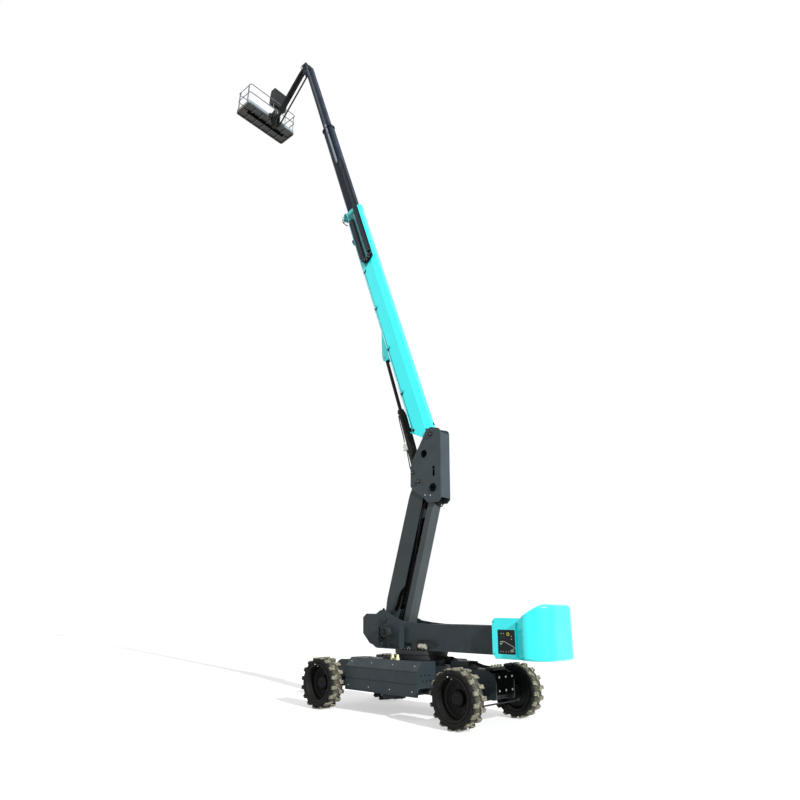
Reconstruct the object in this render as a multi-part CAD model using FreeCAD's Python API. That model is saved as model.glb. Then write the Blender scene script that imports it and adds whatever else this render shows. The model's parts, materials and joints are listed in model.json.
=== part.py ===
import FreeCAD, Part
import math
import os
from FreeCAD import Placement, Rotation, Vector

# Articulating boom lift, millimetres. +X is the way the platform points, +Y the side with
# the ground controls, +Z up. Everything is drawn with zero under the middle of the chassis and
# saved with zero under the middle of the whole length.

# clearances
seat = 0.3            # between pieces bolted or set together
running = 0.05        # radial, pins and rods in their bores
free = 5.0            # between pieces that move past each other

# wheels
wheelbase_half = 2033.0
track_half = 1143.0
tyre_radius = 575.0
tyre_width = 420.0
tread_radius = 540.0
shoulder_radius = 490.0
shoulder_in = 4.0
tyre_sides = 16
lugs_per_row = 16
lug_reach = 75.0
lug_half = 39.0
bead_half = 165.0
rim_radius = 405.0
rim_half = 192.0
rim_lip = 16.0
rim_dish = 84.0       # how far inboard of the middle the wheel disc sits
hub_out = 60.0
spindle_radius = 50.0

# chassis
frame_half = 360.0
frame_end = 2450.0
frame_bottom = 500.0
frame_top = 1060.0
frame_plate = 20.0
box_rear = -850.0
box_front = 1380.0
box_half = 1020.0
box_bottom = 470.0
box_shoulder = 990.0
box_top = 1170.0
axle_half = 110.0
kingpin_y = 760.0
kingpin_radius = 30.0
steer_arm = 250.0

# slewing ring
slew_x = -150.0
ring_radius = 600.0
ring_bottom = 1180.0
ring_split = 1290.0

# turntable
deck = 1380.0         # underside of the turntable
beam_half = 400.0
beam_plate = 24.0
beam_top = 1957.0
beam_rear = -2560.0
nose_x = 1440.0
boss_centre = (596.0, 1751.0)
boss_radius = 115.0
rib_out = 550.0       # outboard face of the ribs beside the plates

# counterweight
weight_half = 720.0
weight_rear = -3880.0
weight_bottom = 1320.0
weight_top = 2390.0
weight_flare = -3362.0
slope_foot = (-3000.0, 1950.0)
slope_head = (-3750.0, 2390.0)
step_half = 520.0
step_rear = -3100.0
step_top = 2100.0
cover_thick = 45.0
cover_bottom = 1337.0
cover_top = 2115.0
panel_low = 1418.0
panel_high = 1887.0

# riser: two arms of a parallelogram that keeps the upright level
riser_foot = (740.0, 2020.0)
riser_head = (-220.0, 5390.0)
link_offset = (-470.0, -210.0)
riser_depth = 235.0   # half
riser_half = 165.0
link_depth = 82.0     # half
link_half = 155.0
riser_pin = 45.0
link_pin = 40.0
riser_ram_foot = (500.0, 1715.0)
riser_ram_along = 2750.0
riser_ram_off = 335.0
riser_ram_radius = 62.0
riser_ram_barrel = 1950.0

# upright
cheek_in = 175.0
cheek_out = 195.0
upright_behind = 310.0    # its back plate behind the boom's pivot
upright_bottom = 4805.0
upper_hole = (-388.0, 6099.0)
upper_hole_radius = 105.0
link_cap = 110.0          # round cap over the pin of the riser's link
slot_middle = (-702.0, 5603.0)
slot_size = (84.0, 280.0)
boom_pivot = (-620.0, 6590.0)
boom_pin = 50.0
lift_foot = (-30.0, 5640.0)

# main boom, in its own line: along from the pivot, up from the pivot
boom_angle = 70.0
base_half = 165.0
base_top = 34.0
base_bottom = -616.0
base_wall = 12.0
base_end = 9350.0
section_mid = (base_top + base_bottom) / 2
mid_half = 135.0
mid_depth = 215.0
mid_start = 7100.0
mid_end = 14300.0
mid_wall = 10.0
fly_half = 105.0
fly_depth = 165.0
fly_start = 12200.0
fly_end = 18600.0
fly_wall = 8.0
tip_along = 19120.0
tip_up = -416.0
jib_pin = 40.0

# lift ram
lift_eye_along = 3147.0
lift_eye_up = -781.0
lift_barrel = 2000.0
lift_radius = 85.0
lift_rod = 50.0
ram_pin = 35.0
eye_half = 60.0

# hose carriers beside the boom
chain_in = 182.0
chain_out = 248.0
chain_bend = 6930.0
chain_middle = -234.0
chain_inner = 67.0
chain_deep = 165.0
link_pitch = 160.0
links_in_loop = 4
vee_half = 12.0
vee_deep = 20.0
chain_fixed_end = 8850.0
chain_top_end = 11840.0
carrier_tip = (-334.0, -177.0)    # from the middle of the loop
carrier_low = 240.0
carrier_high = 225.0
tube_radius = 38.0
tube_bore = 32.0
fly_tube_radius = 26.0

# jib and platform
jib_length = 2400.0
jib_angle = -42.6
jib_depth = 85.0
jib_half = 50.0
jib_link_drop = 450.0
jib_link_y = -106.0
jib_ram_foot_drop = 300.0
jib_ram_along = 1350.0
jib_ram_off = 120.0
post_ahead = 233.0    # ahead of the jib's end pin
post_radius = 60.0
platform_ahead = 185.0
platform_width = 960.0
platform_half = 1250.0
floor_above = 170.0   # above the jib's end pin
floor_deep = 50.0
tread_rise = 4.0
kick_height = 150.0
kick_plate_thick = 6.0
rail_height = 1100.0
rail_radius = 19.0
rail_middle = 640.0
gate_inset = 125.0
console_rise = 710.0


def offset(point, along, up, angle):
    a = math.radians(angle)
    return (point[0] + along * math.cos(a) - up * math.sin(a),
            point[1] + along * math.sin(a) + up * math.cos(a))


def reach(start, end):
    dx, dz = end[0] - start[0], end[1] - start[1]
    return math.hypot(dx, dz), math.degrees(math.atan2(dz, dx))


tip_point = offset(boom_pivot, tip_along, tip_up, boom_angle)
jib_point = offset(tip_point, jib_length, 0, jib_angle)
post_x = jib_point[0] + post_ahead
platform_rear = post_x + platform_ahead
platform_front = platform_rear + platform_width
platform_floor = jib_point[1] + floor_above
rail_top = platform_floor + rail_height
rail_mid = platform_floor + rail_middle
gate_rear = platform_rear + gate_inset
gate_front = platform_front - gate_inset
rail_inset = kick_plate_thick + rail_radius - 2 + seat    # from the outer face to a post's middle
upright_back = boom_pivot[0] - upright_behind

origin_x = (weight_rear + platform_front) / 2


def outline(corners):
    count = len(corners)
    points = [Vector(c[0], c[1], 0) for c in corners]
    starts, ends, middles = [], [], []
    for i, corner in enumerate(corners):
        radius = corner[2] if len(corner) > 2 else 0
        here = points[i]
        if not radius:
            starts.append(here)
            ends.append(here)
            middles.append(None)
            continue
        back = (points[i - 1] - here).normalize()
        ahead = (points[(i + 1) % count] - here).normalize()
        half = back.getAngle(ahead) / 2
        reach = radius / math.tan(half)
        inward = (back + ahead).normalize()
        centre = here + inward * (radius / math.sin(half))
        starts.append(here + back * reach)
        ends.append(here + ahead * reach)
        middles.append(centre - inward * radius)
    edges = []
    for i in range(count):
        if middles[i] is not None:
            edges.append(Part.Arc(starts[i], middles[i], ends[i]).toShape())
        following = starts[(i + 1) % count]
        if (following - ends[i]).Length > 0.001:
            edges.append(Part.LineSegment(ends[i], following).toShape())
    return Part.Wire(edges)


def plan(corners, low, high):
    face = Part.Face(outline(corners))
    face.translate(Vector(0, 0, low))
    return face.extrude(Vector(0, 0, high - low))


def side(corners, near, far):
    # corners are (x, z); the sheet is laid upright and drawn out along Y
    solid = plan(corners, -far, -near)
    solid.rotate(Vector(0, 0, 0), Vector(1, 0, 0), 90)
    return solid


def across(corners, rear, front):
    # corners are (y, z); drawn out along X
    solid = plan(corners, rear, front)
    solid.Placement = Placement(Vector(0, 0, 0), Rotation(Vector(0, 1, 0), Vector(0, 0, 1), Vector(1, 0, 0), "ZXY"))
    return solid


def block(x0, x1, y0, y1, z0, z1):
    return Part.makeBox(x1 - x0, y1 - y0, z1 - z0, Vector(x0, y0, z0))


def pin(point, near, far, radius):
    return Part.makeCylinder(radius, far - near, Vector(point[0], near, point[1]), Vector(0, 1, 0))


def post(x, y, low, high, radius):
    return Part.makeCylinder(radius, high - low, Vector(x, y, low))


def bar(start, end, radius):
    line = Vector(*end) - Vector(*start)
    return Part.makeCylinder(radius, line.Length, Vector(*start), line)


def turned(profile):
    # profile is (y, radius), turned about the Y axis
    wire = Part.makePolygon([Vector(r, y, 0) for y, r in profile + profile[:1]])
    return Part.Face(wire).revolve(Vector(0, 0, 0), Vector(0, 1, 0), 360)


def join(pieces):
    solid = pieces[0].multiFuse(pieces[1:]) if len(pieces) > 1 else pieces[0]
    return solid.removeSplitter()


def mirrored(shape):
    return shape.mirror(Vector(0, 0, 0), Vector(0, 1, 0))


def both(shape):
    return [shape, mirrored(shape)]


def laid(shape, point, angle):
    # a piece drawn along +X about its pivot, swung up by angle and set at the pivot
    shape.rotate(Vector(0, 0, 0), Vector(0, 1, 0), -angle)
    shape.translate(Vector(point[0], 0, point[1]))
    return shape


def save(name, shape):
    pieces = shape if isinstance(shape, list) else [shape]
    solids = [s for p in pieces for s in p.Solids]
    for solid in solids:
        if not solid.isValid() or solid.Volume <= 0:
            print("CHECK", name, solid.isValid(), solid.Volume)
    result = solids[0] if len(solids) == 1 else Part.makeCompound(solids)
    result.translate(Vector(-origin_x, 0, 0))
    result.exportStep("parts/" + name + ".step")
    box = result.BoundBox
    print(name, len(solids), "solids", len(result.Faces), "faces",
          [round(v) for v in (box.XMin, box.XMax, box.YMin, box.YMax, box.ZMin, box.ZMax)])


os.makedirs("parts", exist_ok=True)


# ---------------------------------------------------------------- wheels
def lug():
    # one tread block: a heel on the shoulder and a toe reaching the middle
    heel = tyre_width / 2 - shoulder_in - 2
    flat = math.sqrt(tyre_radius ** 2 - lug_reach ** 2)
    hook = [(-lug_half, heel), (lug_half, heel), (lug_half, 95), (lug_reach, 50), (lug_reach, 6), (-lug_half, 60)]
    return plan(hook, shoulder_radius - 2, flat)


def tyre():
    # straight-sided ring, so that every facet is flat and the blocks sit on it cleanly
    half = tyre_width / 2
    bore = (rim_radius + seat) / math.cos(math.pi / tyre_sides)
    wide, crown = half - shoulder_in, half - 75
    profile = [(-bead_half, bore), (-wide, shoulder_radius), (-crown, tread_radius),
               (crown, tread_radius), (wide, shoulder_radius), (bead_half, bore)]
    faces = []
    step = 2 * math.pi / tyre_sides
    for i in range(tyre_sides):
        a, b = i * step, (i + 1) * step
        for (y0, r0), (y1, r1) in zip(profile, profile[1:] + profile[:1]):
            ring = [Vector(r * math.sin(t), y, r * math.cos(t))
                    for y, r, t in ((y0, r0, a), (y1, r1, a), (y1, r1, b), (y0, r0, b))]
            faces.append(Part.Face(Part.makePolygon(ring + ring[:1])))
    casing = Part.Solid(Part.Shell(faces))
    if casing.Volume < 0:
        casing.reverse()
    # the blocks are turned so that one corner stands exactly on the floor
    corner = math.degrees(math.asin(lug_reach / tyre_radius))
    pitch = 360.0 / lugs_per_row
    rows = []
    for piece, start in ((lug(), 0), (mirrored(lug()), pitch / 2)):
        for i in range(lugs_per_row):
            copy = piece.copy()
            copy.rotate(Vector(0, 0, 0), Vector(0, 1, 0), start + i * pitch - corner)
            rows.append(copy)
    return casing.multiFuse(rows)


def rim():
    lip = rim_radius + 15
    inner = rim_radius - 12
    profile = [(-rim_half, lip), (-rim_half + rim_lip, lip), (-rim_half + rim_lip, rim_radius),
               (rim_half - rim_lip, rim_radius), (rim_half - rim_lip, lip), (rim_half, lip),
               (rim_half, inner), (110, inner - 12), (-45, inner - 25), (-66, 330), (-66, 168), (-20, 158),
               (25, 148), (hub_out, 95), (hub_out, 0), (10, 0), (10, spindle_radius + running),
               (-rim_dish, spindle_radius + running), (-rim_dish, 335), (-rim_dish + 20, inner - 12),
               (-rim_half, inner)]
    return turned(profile)


def wheel_places():
    for name, x, s in (("front_left", wheelbase_half, 1), ("front_right", wheelbase_half, -1),
                       ("rear_left", -wheelbase_half, 1), ("rear_right", -wheelbase_half, -1)):
        yield name, x, s


def wheels():
    rubber, steel = tyre(), rim()
    for name, x, s in wheel_places():
        for piece, kind in ((rubber, "tyre_"), (steel, "rim_")):
            copy = piece.copy()
            if s < 0:
                copy.rotate(Vector(0, 0, 0), Vector(0, 0, 1), 180)
            copy.translate(Vector(x, s * track_half, tyre_radius))
            save(kind + name, copy)


# ---------------------------------------------------------------- chassis
def drum(x):
    # wheel motor housing and spindle on the near side
    face = track_half - rim_dish - free
    tip = track_half
    centre = (x, tyre_radius)
    return [pin(centre, face - 165, face, 170), pin(centre, face - 1, tip, spindle_radius)]


def central_frame():
    end, low, high = frame_end, frame_bottom, frame_top
    plate = side([(-end, low, 60), (-end, high, 260), (end, high, 260), (end, low, 60)],
                 frame_half - 30, frame_half)
    inner = frame_half - 30
    pieces = both(plate)
    pieces.append(block(-end + 320, end - 320, -inner, inner, high - frame_plate, high))
    pieces.append(block(-end + 120, end - 120, -inner, inner, low, low + frame_plate))
    for x in (-end + 140, -1500, -750, 750, 1500, end - 160):
        top = high - 60 if abs(x) > 2000 else high - frame_plate
        pieces.append(block(x, x + frame_plate, -inner, inner, low + frame_plate, top))
    pieces.append(post(slew_x, 0, high - frame_plate, ring_bottom, ring_radius - 40))
    solid = join(pieces)
    openings = [block(x - axle_half - seat, x + axle_half + seat, -frame_half - 1, frame_half + 1,
                      tyre_radius - axle_half - 200, tyre_radius + axle_half + seat)
                for x in (-wheelbase_half, wheelbase_half)]
    solid = solid.cut(Part.makeCompound(openings))
    return solid.cut(post(slew_x, 0, low - 1, ring_bottom + 1, 240))


def battery_box():
    shape = across([(frame_half + seat, box_bottom), (box_half, box_bottom), (box_half, box_shoulder),
                    (box_half - 180, box_top), (frame_half + seat, box_top)], box_rear, box_front)
    groove = block(box_rear - 1, box_front + 1, box_half - 12, box_half + 1, 715, 730)
    notch = across([(box_half - 600, box_bottom - 60), (box_half - 600, box_bottom + 165, 70),
                    (box_half - 52, box_bottom + 165, 70), (box_half - 52, box_bottom - 60)],
                   box_rear - 1, box_rear + 260)
    holes = [Part.makeCylinder(20, 40, Vector(box_rear - 1, box_half - 150 - 135 * i - 60 * row, 895 - 115 * row),
                               Vector(1, 0, 0)) for i in range(3) for row in range(2)]
    shape = shape.cut(Part.makeCompound([groove, notch] + holes))
    clear = post(slew_x, 0, frame_top - frame_plate - 1, ring_bottom + 200, ring_radius + 60)
    return shape.cut(clear)


def steered_axle(x):
    low, high = tyre_radius - axle_half, tyre_radius + axle_half
    pieces = [block(x - axle_half, x + axle_half, -640, 640, low, high)]
    for z0, z1 in ((low, low + 50), (high - 50, high)):
        pieces += both(plan([(x - 80, 600), (x - 80, 840, 79), (x + 80, 840, 79), (x + 80, 600)], z0, z1))
    bores = [post(x, y, low - 1, high + 1, kingpin_radius + running) for y in (-kingpin_y, kingpin_y)]
    return join(pieces).cut(Part.makeCompound(bores))


def fixed_axle(x):
    # the battery boxes stand too near these wheels for them to steer
    low, high = tyre_radius - axle_half, tyre_radius + axle_half
    pieces = [block(x - axle_half, x + axle_half, -900, 900, low, high)]
    for piece in drum(x):
        pieces += both(piece)
    return join(pieces)


def knuckle(x, s):
    low, high = tyre_radius - axle_half, tyre_radius + axle_half
    out = math.copysign(1, x)
    tip_x = x + out * (steer_arm + 40)
    arm = plan([(tip_x, kingpin_y - 65, 39), (x - out * 50, kingpin_y - 50, 42), (x - out * 50, kingpin_y + 50, 42),
                (tip_x, kingpin_y + 15, 39)], low - 38, low - 8)
    web = block(x - 65, x + 65, kingpin_y, kingpin_y + 140, low + 57, high - 57)
    body = [post(x, kingpin_y, low + 50 + free, high - 50 - free, 78),
            post(x, kingpin_y, low - 38, high + 8, kingpin_radius), web, arm] + drum(x)
    solid = join(body)
    return solid if s > 0 else mirrored(solid)


def tie_rod(axle_x):
    x = axle_x + math.copysign(steer_arm, axle_x)
    high = tyre_radius - axle_half - 38 - seat
    y = kingpin_y - 25
    pieces = [post(x, s * y, high - 30, high, 38) for s in (-1, 1)]
    pieces.append(block(x - 20, x + 20, -y, y, high - 28, high - 4))
    return join(pieces)


def ring_gear():
    ring = post(slew_x, 0, ring_bottom + seat, ring_split, ring_radius)
    return ring.cut(post(slew_x, 0, ring_bottom, ring_split + 1, 470))


def deck_guard():
    # hose guard plate lying on the frame behind the ring
    return side([(-1650, frame_top + seat), (-1620, frame_top + 130, 20), (-1170, frame_top + 130, 20),
                 (-1140, frame_top + seat)], -200, 200)


def belly_drum():
    return join([post(700, 0, 300, frame_bottom - seat, 330), post(700, 0, 260, 300, 270)])


def chassis():
    save("chassis_frame", [central_frame(), belly_drum(), deck_guard()])
    near = battery_box()
    save("battery_boxes", [near, mirrored(near)])
    save("front_axle", fixed_axle(wheelbase_half))
    save("rear_axle", steered_axle(-wheelbase_half))
    save("rear_knuckle_left", knuckle(-wheelbase_half, 1))
    save("rear_knuckle_right", knuckle(-wheelbase_half, -1))
    save("rear_tie_rod", tie_rod(-wheelbase_half))
    save("slew_ring_gear", ring_gear())


# ---------------------------------------------------------------- turntable
def race():
    ring = post(slew_x, 0, ring_split + seat, deck, ring_radius + 30)
    return ring.cut(post(slew_x, 0, ring_split, deck + 1, 480))


def turntable_frame():
    low = deck + seat
    edge = [(nose_x, 1699), (nose_x + 15, 2073, 30), (1336, 2167, 60), (1030, 2143, 60), (860, 2251, 45),
            (671, 2251, 60), (560, 2172, 90), (160, 2020, 200), (-180, 1983, 200), (-580, beam_top),
            (beam_rear, beam_top), (beam_rear, low), (990, low), (1079, 1439), (1200, 1473)]
    hull = side(edge, -beam_half, beam_half)
    inner = beam_half - beam_plate
    well = side([(-700, low + 24), (980, low + 24), (1065, 1465), (1192, 1500), (1192, 2500), (-700, 2500)],
                -inner, inner)
    rear = block(beam_rear + 20, -724, -inner, inner, low + 24, beam_top - 20)
    nose = side([(1216, 1545), (1216, 2110), (nose_x - 20, 2055), (nose_x - 20, 1725)], -inner, inner)
    hull = hull.cut(Part.makeCompound([well, rear, nose]))
    hull = hull.cut(post(slew_x, 0, low - 1, low + 25, 300))
    sight = side([(-570, low - 1), (-570, 1530, 30), (150, 1530, 30), (150, low - 1)], -beam_half - 1, beam_half + 1)
    sight = sight.cut(block(-800, 300, -inner, inner, 0, 3000))
    hull = hull.cut(sight)
    link_foot = (riser_foot[0] + link_offset[0], riser_foot[1] + link_offset[1])
    fittings = [pin(riser_foot, -beam_half - 40, beam_half + 40, riser_pin)]
    near = [pin(riser_foot, riser_half + free, inner + 1, 95),
            pin(link_foot, link_half + free, inner + 1, 75), pin(link_foot, link_half - 19, inner + 1, link_pin),
            pin(riser_ram_foot, eye_half + free, inner + 1, 52),
            pin(boss_centre, beam_half - 1, rib_out, boss_radius),
            pin(riser_foot, beam_half - 1, beam_half + 30, 75)]
    for x in (780, 74):
        near.append(side([(x - 15, low), (x - 15, 1886), (x + 15, 1886), (x + 15, low)], beam_half - 1, rib_out))
    near.append(block(60, 795, beam_half - 1, rib_out - 30, low, low + 25))
    for piece in near:
        fittings += both(piece)
    fittings.append(pin(riser_ram_foot, -inner - 1, inner + 1, ram_pin))
    return join([hull] + fittings)


def slew_drive():
    z = 1470.0
    y = beam_half + 75
    motor = bar((-660, y, z), (-420, y, z), 55)
    gearbox = block(-440, -300, beam_half + seat, beam_half + 145, 1385, 1600)
    return join([motor, gearbox])


def counterweight():
    body = plan([(step_rear, step_half), (weight_flare, weight_half, 100), (weight_rear, weight_half, 450),
                 (weight_rear, -weight_half, 450), (weight_flare, -weight_half, 100), (step_rear, -step_half)],
                weight_bottom, weight_top)
    crown = [e for e in body.Edges if e.BoundBox.ZMin > weight_top - 1]
    body = body.makeFillet(80, crown)
    keel = [e for e in body.Edges if e.BoundBox.ZMax < weight_bottom + 1]
    body = body.makeFillet(60, keel)
    x0, z0 = slope_foot
    slope = side([(-2900, z0 - 60), slope_foot, slope_head, (slope_head[0], 2600), (-2900, 2600)], -900, 900)
    front = block(step_rear - 170, beam_rear - seat, -step_half, step_half, weight_bottom, step_top)
    return join([body.cut(slope), front])


def cover(recess):
    # its upper rear corner reaches back over the slope of the wide part
    x0, x1 = step_rear + 2, beam_rear + 25
    sheet = side([(x0, cover_bottom, 110), (x0, 2010), (-3270, cover_top), (x1, cover_top, 110),
                  (x1, cover_bottom, 110)], step_half + seat, step_half + cover_thick)
    if recess:
        sheet = sheet.cut(block(*panel_box(), panel_low, panel_high))
    return sheet


def panel_box():
    return step_rear + 15, -2665, step_half + 25, step_half + 60


def control_panel():
    x0, x1, y0, y1 = panel_box()
    return block(x0 + seat, x1 - seat, y0 + seat, step_half + 38, panel_low + seat, panel_high - seat)


def turntable():
    save("slew_ring_race", race())
    save("turntable_frame", turntable_frame())
    save("slew_drive", slew_drive())
    save("counterweight", counterweight())
    save("side_covers", [cover(True), mirrored(cover(False))])
    save("control_panel", control_panel())


# ---------------------------------------------------------------- riser
def riser_arm():
    length, angle = reach(riser_foot, riser_head)
    d, h = riser_depth, riser_half
    body = side([(-150, -150, 149), (-150, 150, 149), (420, d, 120), (length - 400, d, 120), (length + 150, 150, 149),
                 (length + 150, -150, 149), (length - 400, -d, 120), (420, -d, 120)], -h, h)
    hollow = block(330, length - 330, -h + 14, h - 14, -130, 130)
    hollow = join([hollow, block(520, length - 480, -h + 14, h - 14, -d + 14, d - 14)])
    body = body.cut(hollow)
    # the back, towards the link, is +up in this line
    lugs = side([(riser_ram_along - 170, d - 2), (riser_ram_along - 60, riser_ram_off + 55, 30),
                 (riser_ram_along + 60, riser_ram_off + 55, 30), (riser_ram_along + 170, d - 2)], eye_half + free, 100)
    body = join([body] + both(lugs))
    for x in (0, length):
        body = body.cut(pin((x, 0), -h - 1, h + 1, riser_pin + running))
    return laid(body, riser_foot, angle)


def riser_link():
    length, angle = reach(riser_foot, riser_head)
    foot = (riser_foot[0] + link_offset[0], riser_foot[1] + link_offset[1])
    d, h = link_depth, link_half
    body = side([(-100, -d, 70), (-100, d, 70), (length + 100, d, 70), (length + 100, -d, 70)], -h, h)
    channel = block(-200, length + 200, -h + 20, h - 20, -d - 1, d - 15)
    body = body.cut(channel)
    for x in (0, length):
        body = body.cut(pin((x, 0), -h - 1, h + 1, link_pin + running))
    return laid(body, foot, angle)


def barrel(length, outer, bore, eye_radius, eye, pin_radius):
    tube = Part.makeCylinder(outer, length - eye_radius - 4, Vector(eye_radius + 4, 0, 0), Vector(1, 0, 0))
    tube = tube.cut(Part.makeCylinder(bore + running, length, Vector(eye_radius + 60, 0, 0), Vector(1, 0, 0)))
    head = pin((0, 0), -eye, eye, eye_radius)
    neck = block(0, eye_radius + 12, -eye * 0.7, eye * 0.7, -eye_radius * 0.8, eye_radius * 0.8)
    gland = Part.makeCylinder(outer + 10, 70, Vector(length - 70, 0, 0), Vector(1, 0, 0))
    gland = gland.cut(Part.makeCylinder(bore + running, 80, Vector(length - 75, 0, 0), Vector(1, 0, 0)))
    solid = join([tube, head, neck, gland])
    return solid.cut(pin((0, 0), -eye - 1, eye + 1, pin_radius + running))


def piston_rod(start, end, radius, eye_radius, eye):
    shaft = Part.makeCylinder(radius, end - start - eye_radius + 10, Vector(start, 0, 0), Vector(1, 0, 0))
    return join([shaft, pin((end, 0), -eye, eye, eye_radius)])


def riser_ram():
    length, angle = reach(riser_foot, riser_head)
    top = offset(riser_foot, riser_ram_along, riser_ram_off, angle)
    span, lean = reach(riser_ram_foot, top)
    cylinder = barrel(riser_ram_barrel, riser_ram_radius - 10, 35, 52, eye_half, ram_pin)
    rod = piston_rod(riser_ram_barrel - 700, span, 35, 50, eye_half)
    return laid(cylinder, riser_ram_foot, lean), laid(rod, riser_ram_foot, lean), span, lean


def riser():
    save("riser_arm", riser_arm())
    save("riser_link", riser_link())
    cylinder, rod, span, lean = riser_ram()
    save("riser_ram_barrel", cylinder)
    save("riser_ram_rod", rod)
    print("riser ram", span, lean)


# ---------------------------------------------------------------- upright between riser and boom
def oval(middle, size):
    # corners of an upright slot with round ends
    x, z = middle
    half_x, half_z = size[0] / 2, size[1] / 2
    return [(x + i * half_x, z + j * half_z, half_x - 1) for i, j in ((-1, -1), (-1, 1), (1, 1), (1, -1))]


def upright():
    x = upright_back
    px, pz = boom_pivot
    hx, hz = riser_head
    lx, lz = lift_foot
    edge = [(x, hz - 500, 30), (x + 90, upright_bottom), (hx - 420, upright_bottom), (hx - 280, upright_bottom + 25),
            (hx - 135, upright_bottom + 165), (hx + 180, hz - 220), (lx + 90, lz - 350), (lx + 90, lz + 170),
            (lx + 40, lz + 330), (px + 380, pz - 240), (px + 150, pz + 150, 60), (px, pz + 200, 150),
            (x + 30, pz + 110, 90), (x, pz + 20)]
    cheek = side(edge, cheek_in, cheek_out)
    cheek = cheek.cut(pin(upper_hole, 0, cheek_out + 1, upper_hole_radius))
    slot = side(oval(slot_middle, slot_size), 0, cheek_out + 1)
    cheek = cheek.cut(slot)
    link_head = (riser_head[0] + link_offset[0], riser_head[1] + link_offset[1])
    pieces = both(cheek)
    pieces.append(block(x, x + 20, -cheek_in - 1, cheek_in + 1, hz - 470, pz + 10))
    pieces.append(block(x + 10, hx - 200, -cheek_in - 1, cheek_in + 1, lz, lz + 20))
    pieces.append(pin(riser_head, -cheek_out - 25, cheek_out + 25, riser_pin))
    pieces.append(pin(boom_pivot, -cheek_out - 30, cheek_out + 30, boom_pin))
    pieces.append(pin(lift_foot, -cheek_out - 25, cheek_out + 25, ram_pin))
    for piece in (pin(lift_foot, eye_half + free, cheek_in + 1, 55),
                  pin(link_head, link_half + free, cheek_in + 1, 70),
                  pin(link_head, link_half - 19, cheek_in + 1, link_pin),
                  pin(link_head, cheek_out - 1, cheek_out + 12, link_cap)):
        pieces += both(piece)
    return join(pieces)


# ---------------------------------------------------------------- boom sections
def section(half, depth_low, depth_high, wide, high, low, start, end):
    # eight-sided tube outline, narrower across its top and bottom
    corners = [(-half, depth_low + low), (-half + wide, depth_low), (half - wide, depth_low),
               (half, depth_low + low), (half, depth_high - high), (half - wide, depth_high),
               (-half + wide, depth_high), (-half, depth_high - high)]
    return across(corners, start, end)


def hollow_section(half, bottom, top, wide, high, low, wall, start, end):
    outer = section(half, bottom, top, wide, high, low, start, end)
    inner = section(half - wall, bottom + wall, top - wall, wide, high, low, start - 1, end + 1)
    return outer.cut(inner)


def boom_base():
    h = base_half
    tube = hollow_section(h, base_bottom, base_top, 88, 155, 125, base_wall, 30, base_end)
    corner = side([(-400, 176), (-400, -1500), (1300, -1500), (400, base_bottom), (30, -250)], -400, 400)
    tube = tube.cut(corner)
    skin = side([(30, -250), (400, base_bottom), (430, base_bottom), (430, base_bottom + 18), (408, base_bottom + 18),
                 (52, -250), (52, base_top - 40), (30, base_top - 40)], -h + 6, h - 6)
    hub = pin((0, 0), -h, h, 120)
    pads = [block(base_end - 110, base_end - 10, -70, 70, section_mid + mid_depth + 0.5, base_top - 6),
            block(base_end - 110, base_end - 10, -70, 70, base_bottom + 6, section_mid - mid_depth - 0.5)]
    for s in (-1, 1):
        y0, y1 = sorted((s * (mid_half + 0.5), s * (h - 6)))
        pads.append(block(base_end - 110, base_end - 10, y0, y1, section_mid - 90, section_mid + 90))
    gusset = side([(3000, base_bottom + 8), (3060, lift_eye_up - 70, 40), (3240, lift_eye_up - 70, 40),
                   (4060, base_bottom + 8)],
                  eye_half + free, eye_half + free + 24)
    boss = pin((lift_eye_along, lift_eye_up), eye_half + free + 23, eye_half + free + 40, 52)
    body = join([tube, skin, hub] + pads + both(gusset) + both(boss))
    body = body.cut(pin((0, 0), -h - 1, h + 1, boom_pin + running))
    return laid(body, boom_pivot, boom_angle)


def boom_mid():
    top, bottom = section_mid + mid_depth, section_mid - mid_depth
    tube = hollow_section(mid_half, bottom, top, 48, 62, 62, mid_wall, mid_start, mid_end)
    collar = section(mid_half + 22, bottom - 22, top + 22, 50, 66, 66, mid_end - 130, mid_end - 20)
    collar = collar.cut(section(mid_half - 5, bottom + 5, top - 5, 47, 62, 62, mid_end - 200, mid_end + 1))
    pads = []
    for s in (-1, 1):
        reach_up = (base_top - base_wall - 0.5) if s > 0 else (base_bottom + base_wall + 0.5)
        edge = section_mid + s * (mid_depth - 4)
        z0, z1 = sorted((edge, reach_up))
        pads.append(block(mid_start + 20, mid_start + 160, -60, 60, z0, z1))
        inner = section_mid + s * (fly_depth + 0.5)
        z0, z1 = sorted((inner, section_mid + s * (mid_depth - 5)))
        pads.append(block(mid_end - 110, mid_end - 10, -50, 50, z0, z1))
        y0, y1 = sorted((s * (fly_half + 0.5), s * (mid_half - 5)))
        pads.append(block(mid_end - 110, mid_end - 10, y0, y1, section_mid - 60, section_mid + 60))
        y0, y1 = sorted((s * (mid_half - 5), s * (base_half - base_wall - 0.5)))
        pads.append(block(mid_start + 20, mid_start + 160, y0, y1, section_mid - 60, section_mid + 60))
    tongue = block(mid_end - 130, mid_end - 20, mid_half + 10, tube_y() + 10, chain_middle - 30, chain_middle + 30)
    tongue = tongue.cut(tube_hole(mid_end - 200, mid_end))
    return laid(join([tube, collar, tongue] + pads), boom_pivot, boom_angle)


def tube_y():
    return (chain_in + chain_out) / 2


def tube_along(start, end, radius):
    # round bar on the line of the hose tubes
    return Part.makeCylinder(radius, end - start, Vector(start, tube_y(), chain_middle), Vector(1, 0, 0))


def tube_hole(start, end):
    return tube_along(start, end, tube_radius + seat)


def hose_tube():
    outer = tube_along(chain_top_end, mid_end - 20, tube_radius)
    inner = tube_along(chain_top_end - 50, mid_end + 150, tube_bore)
    return laid(outer.cut(inner), boom_pivot, boom_angle)


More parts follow.
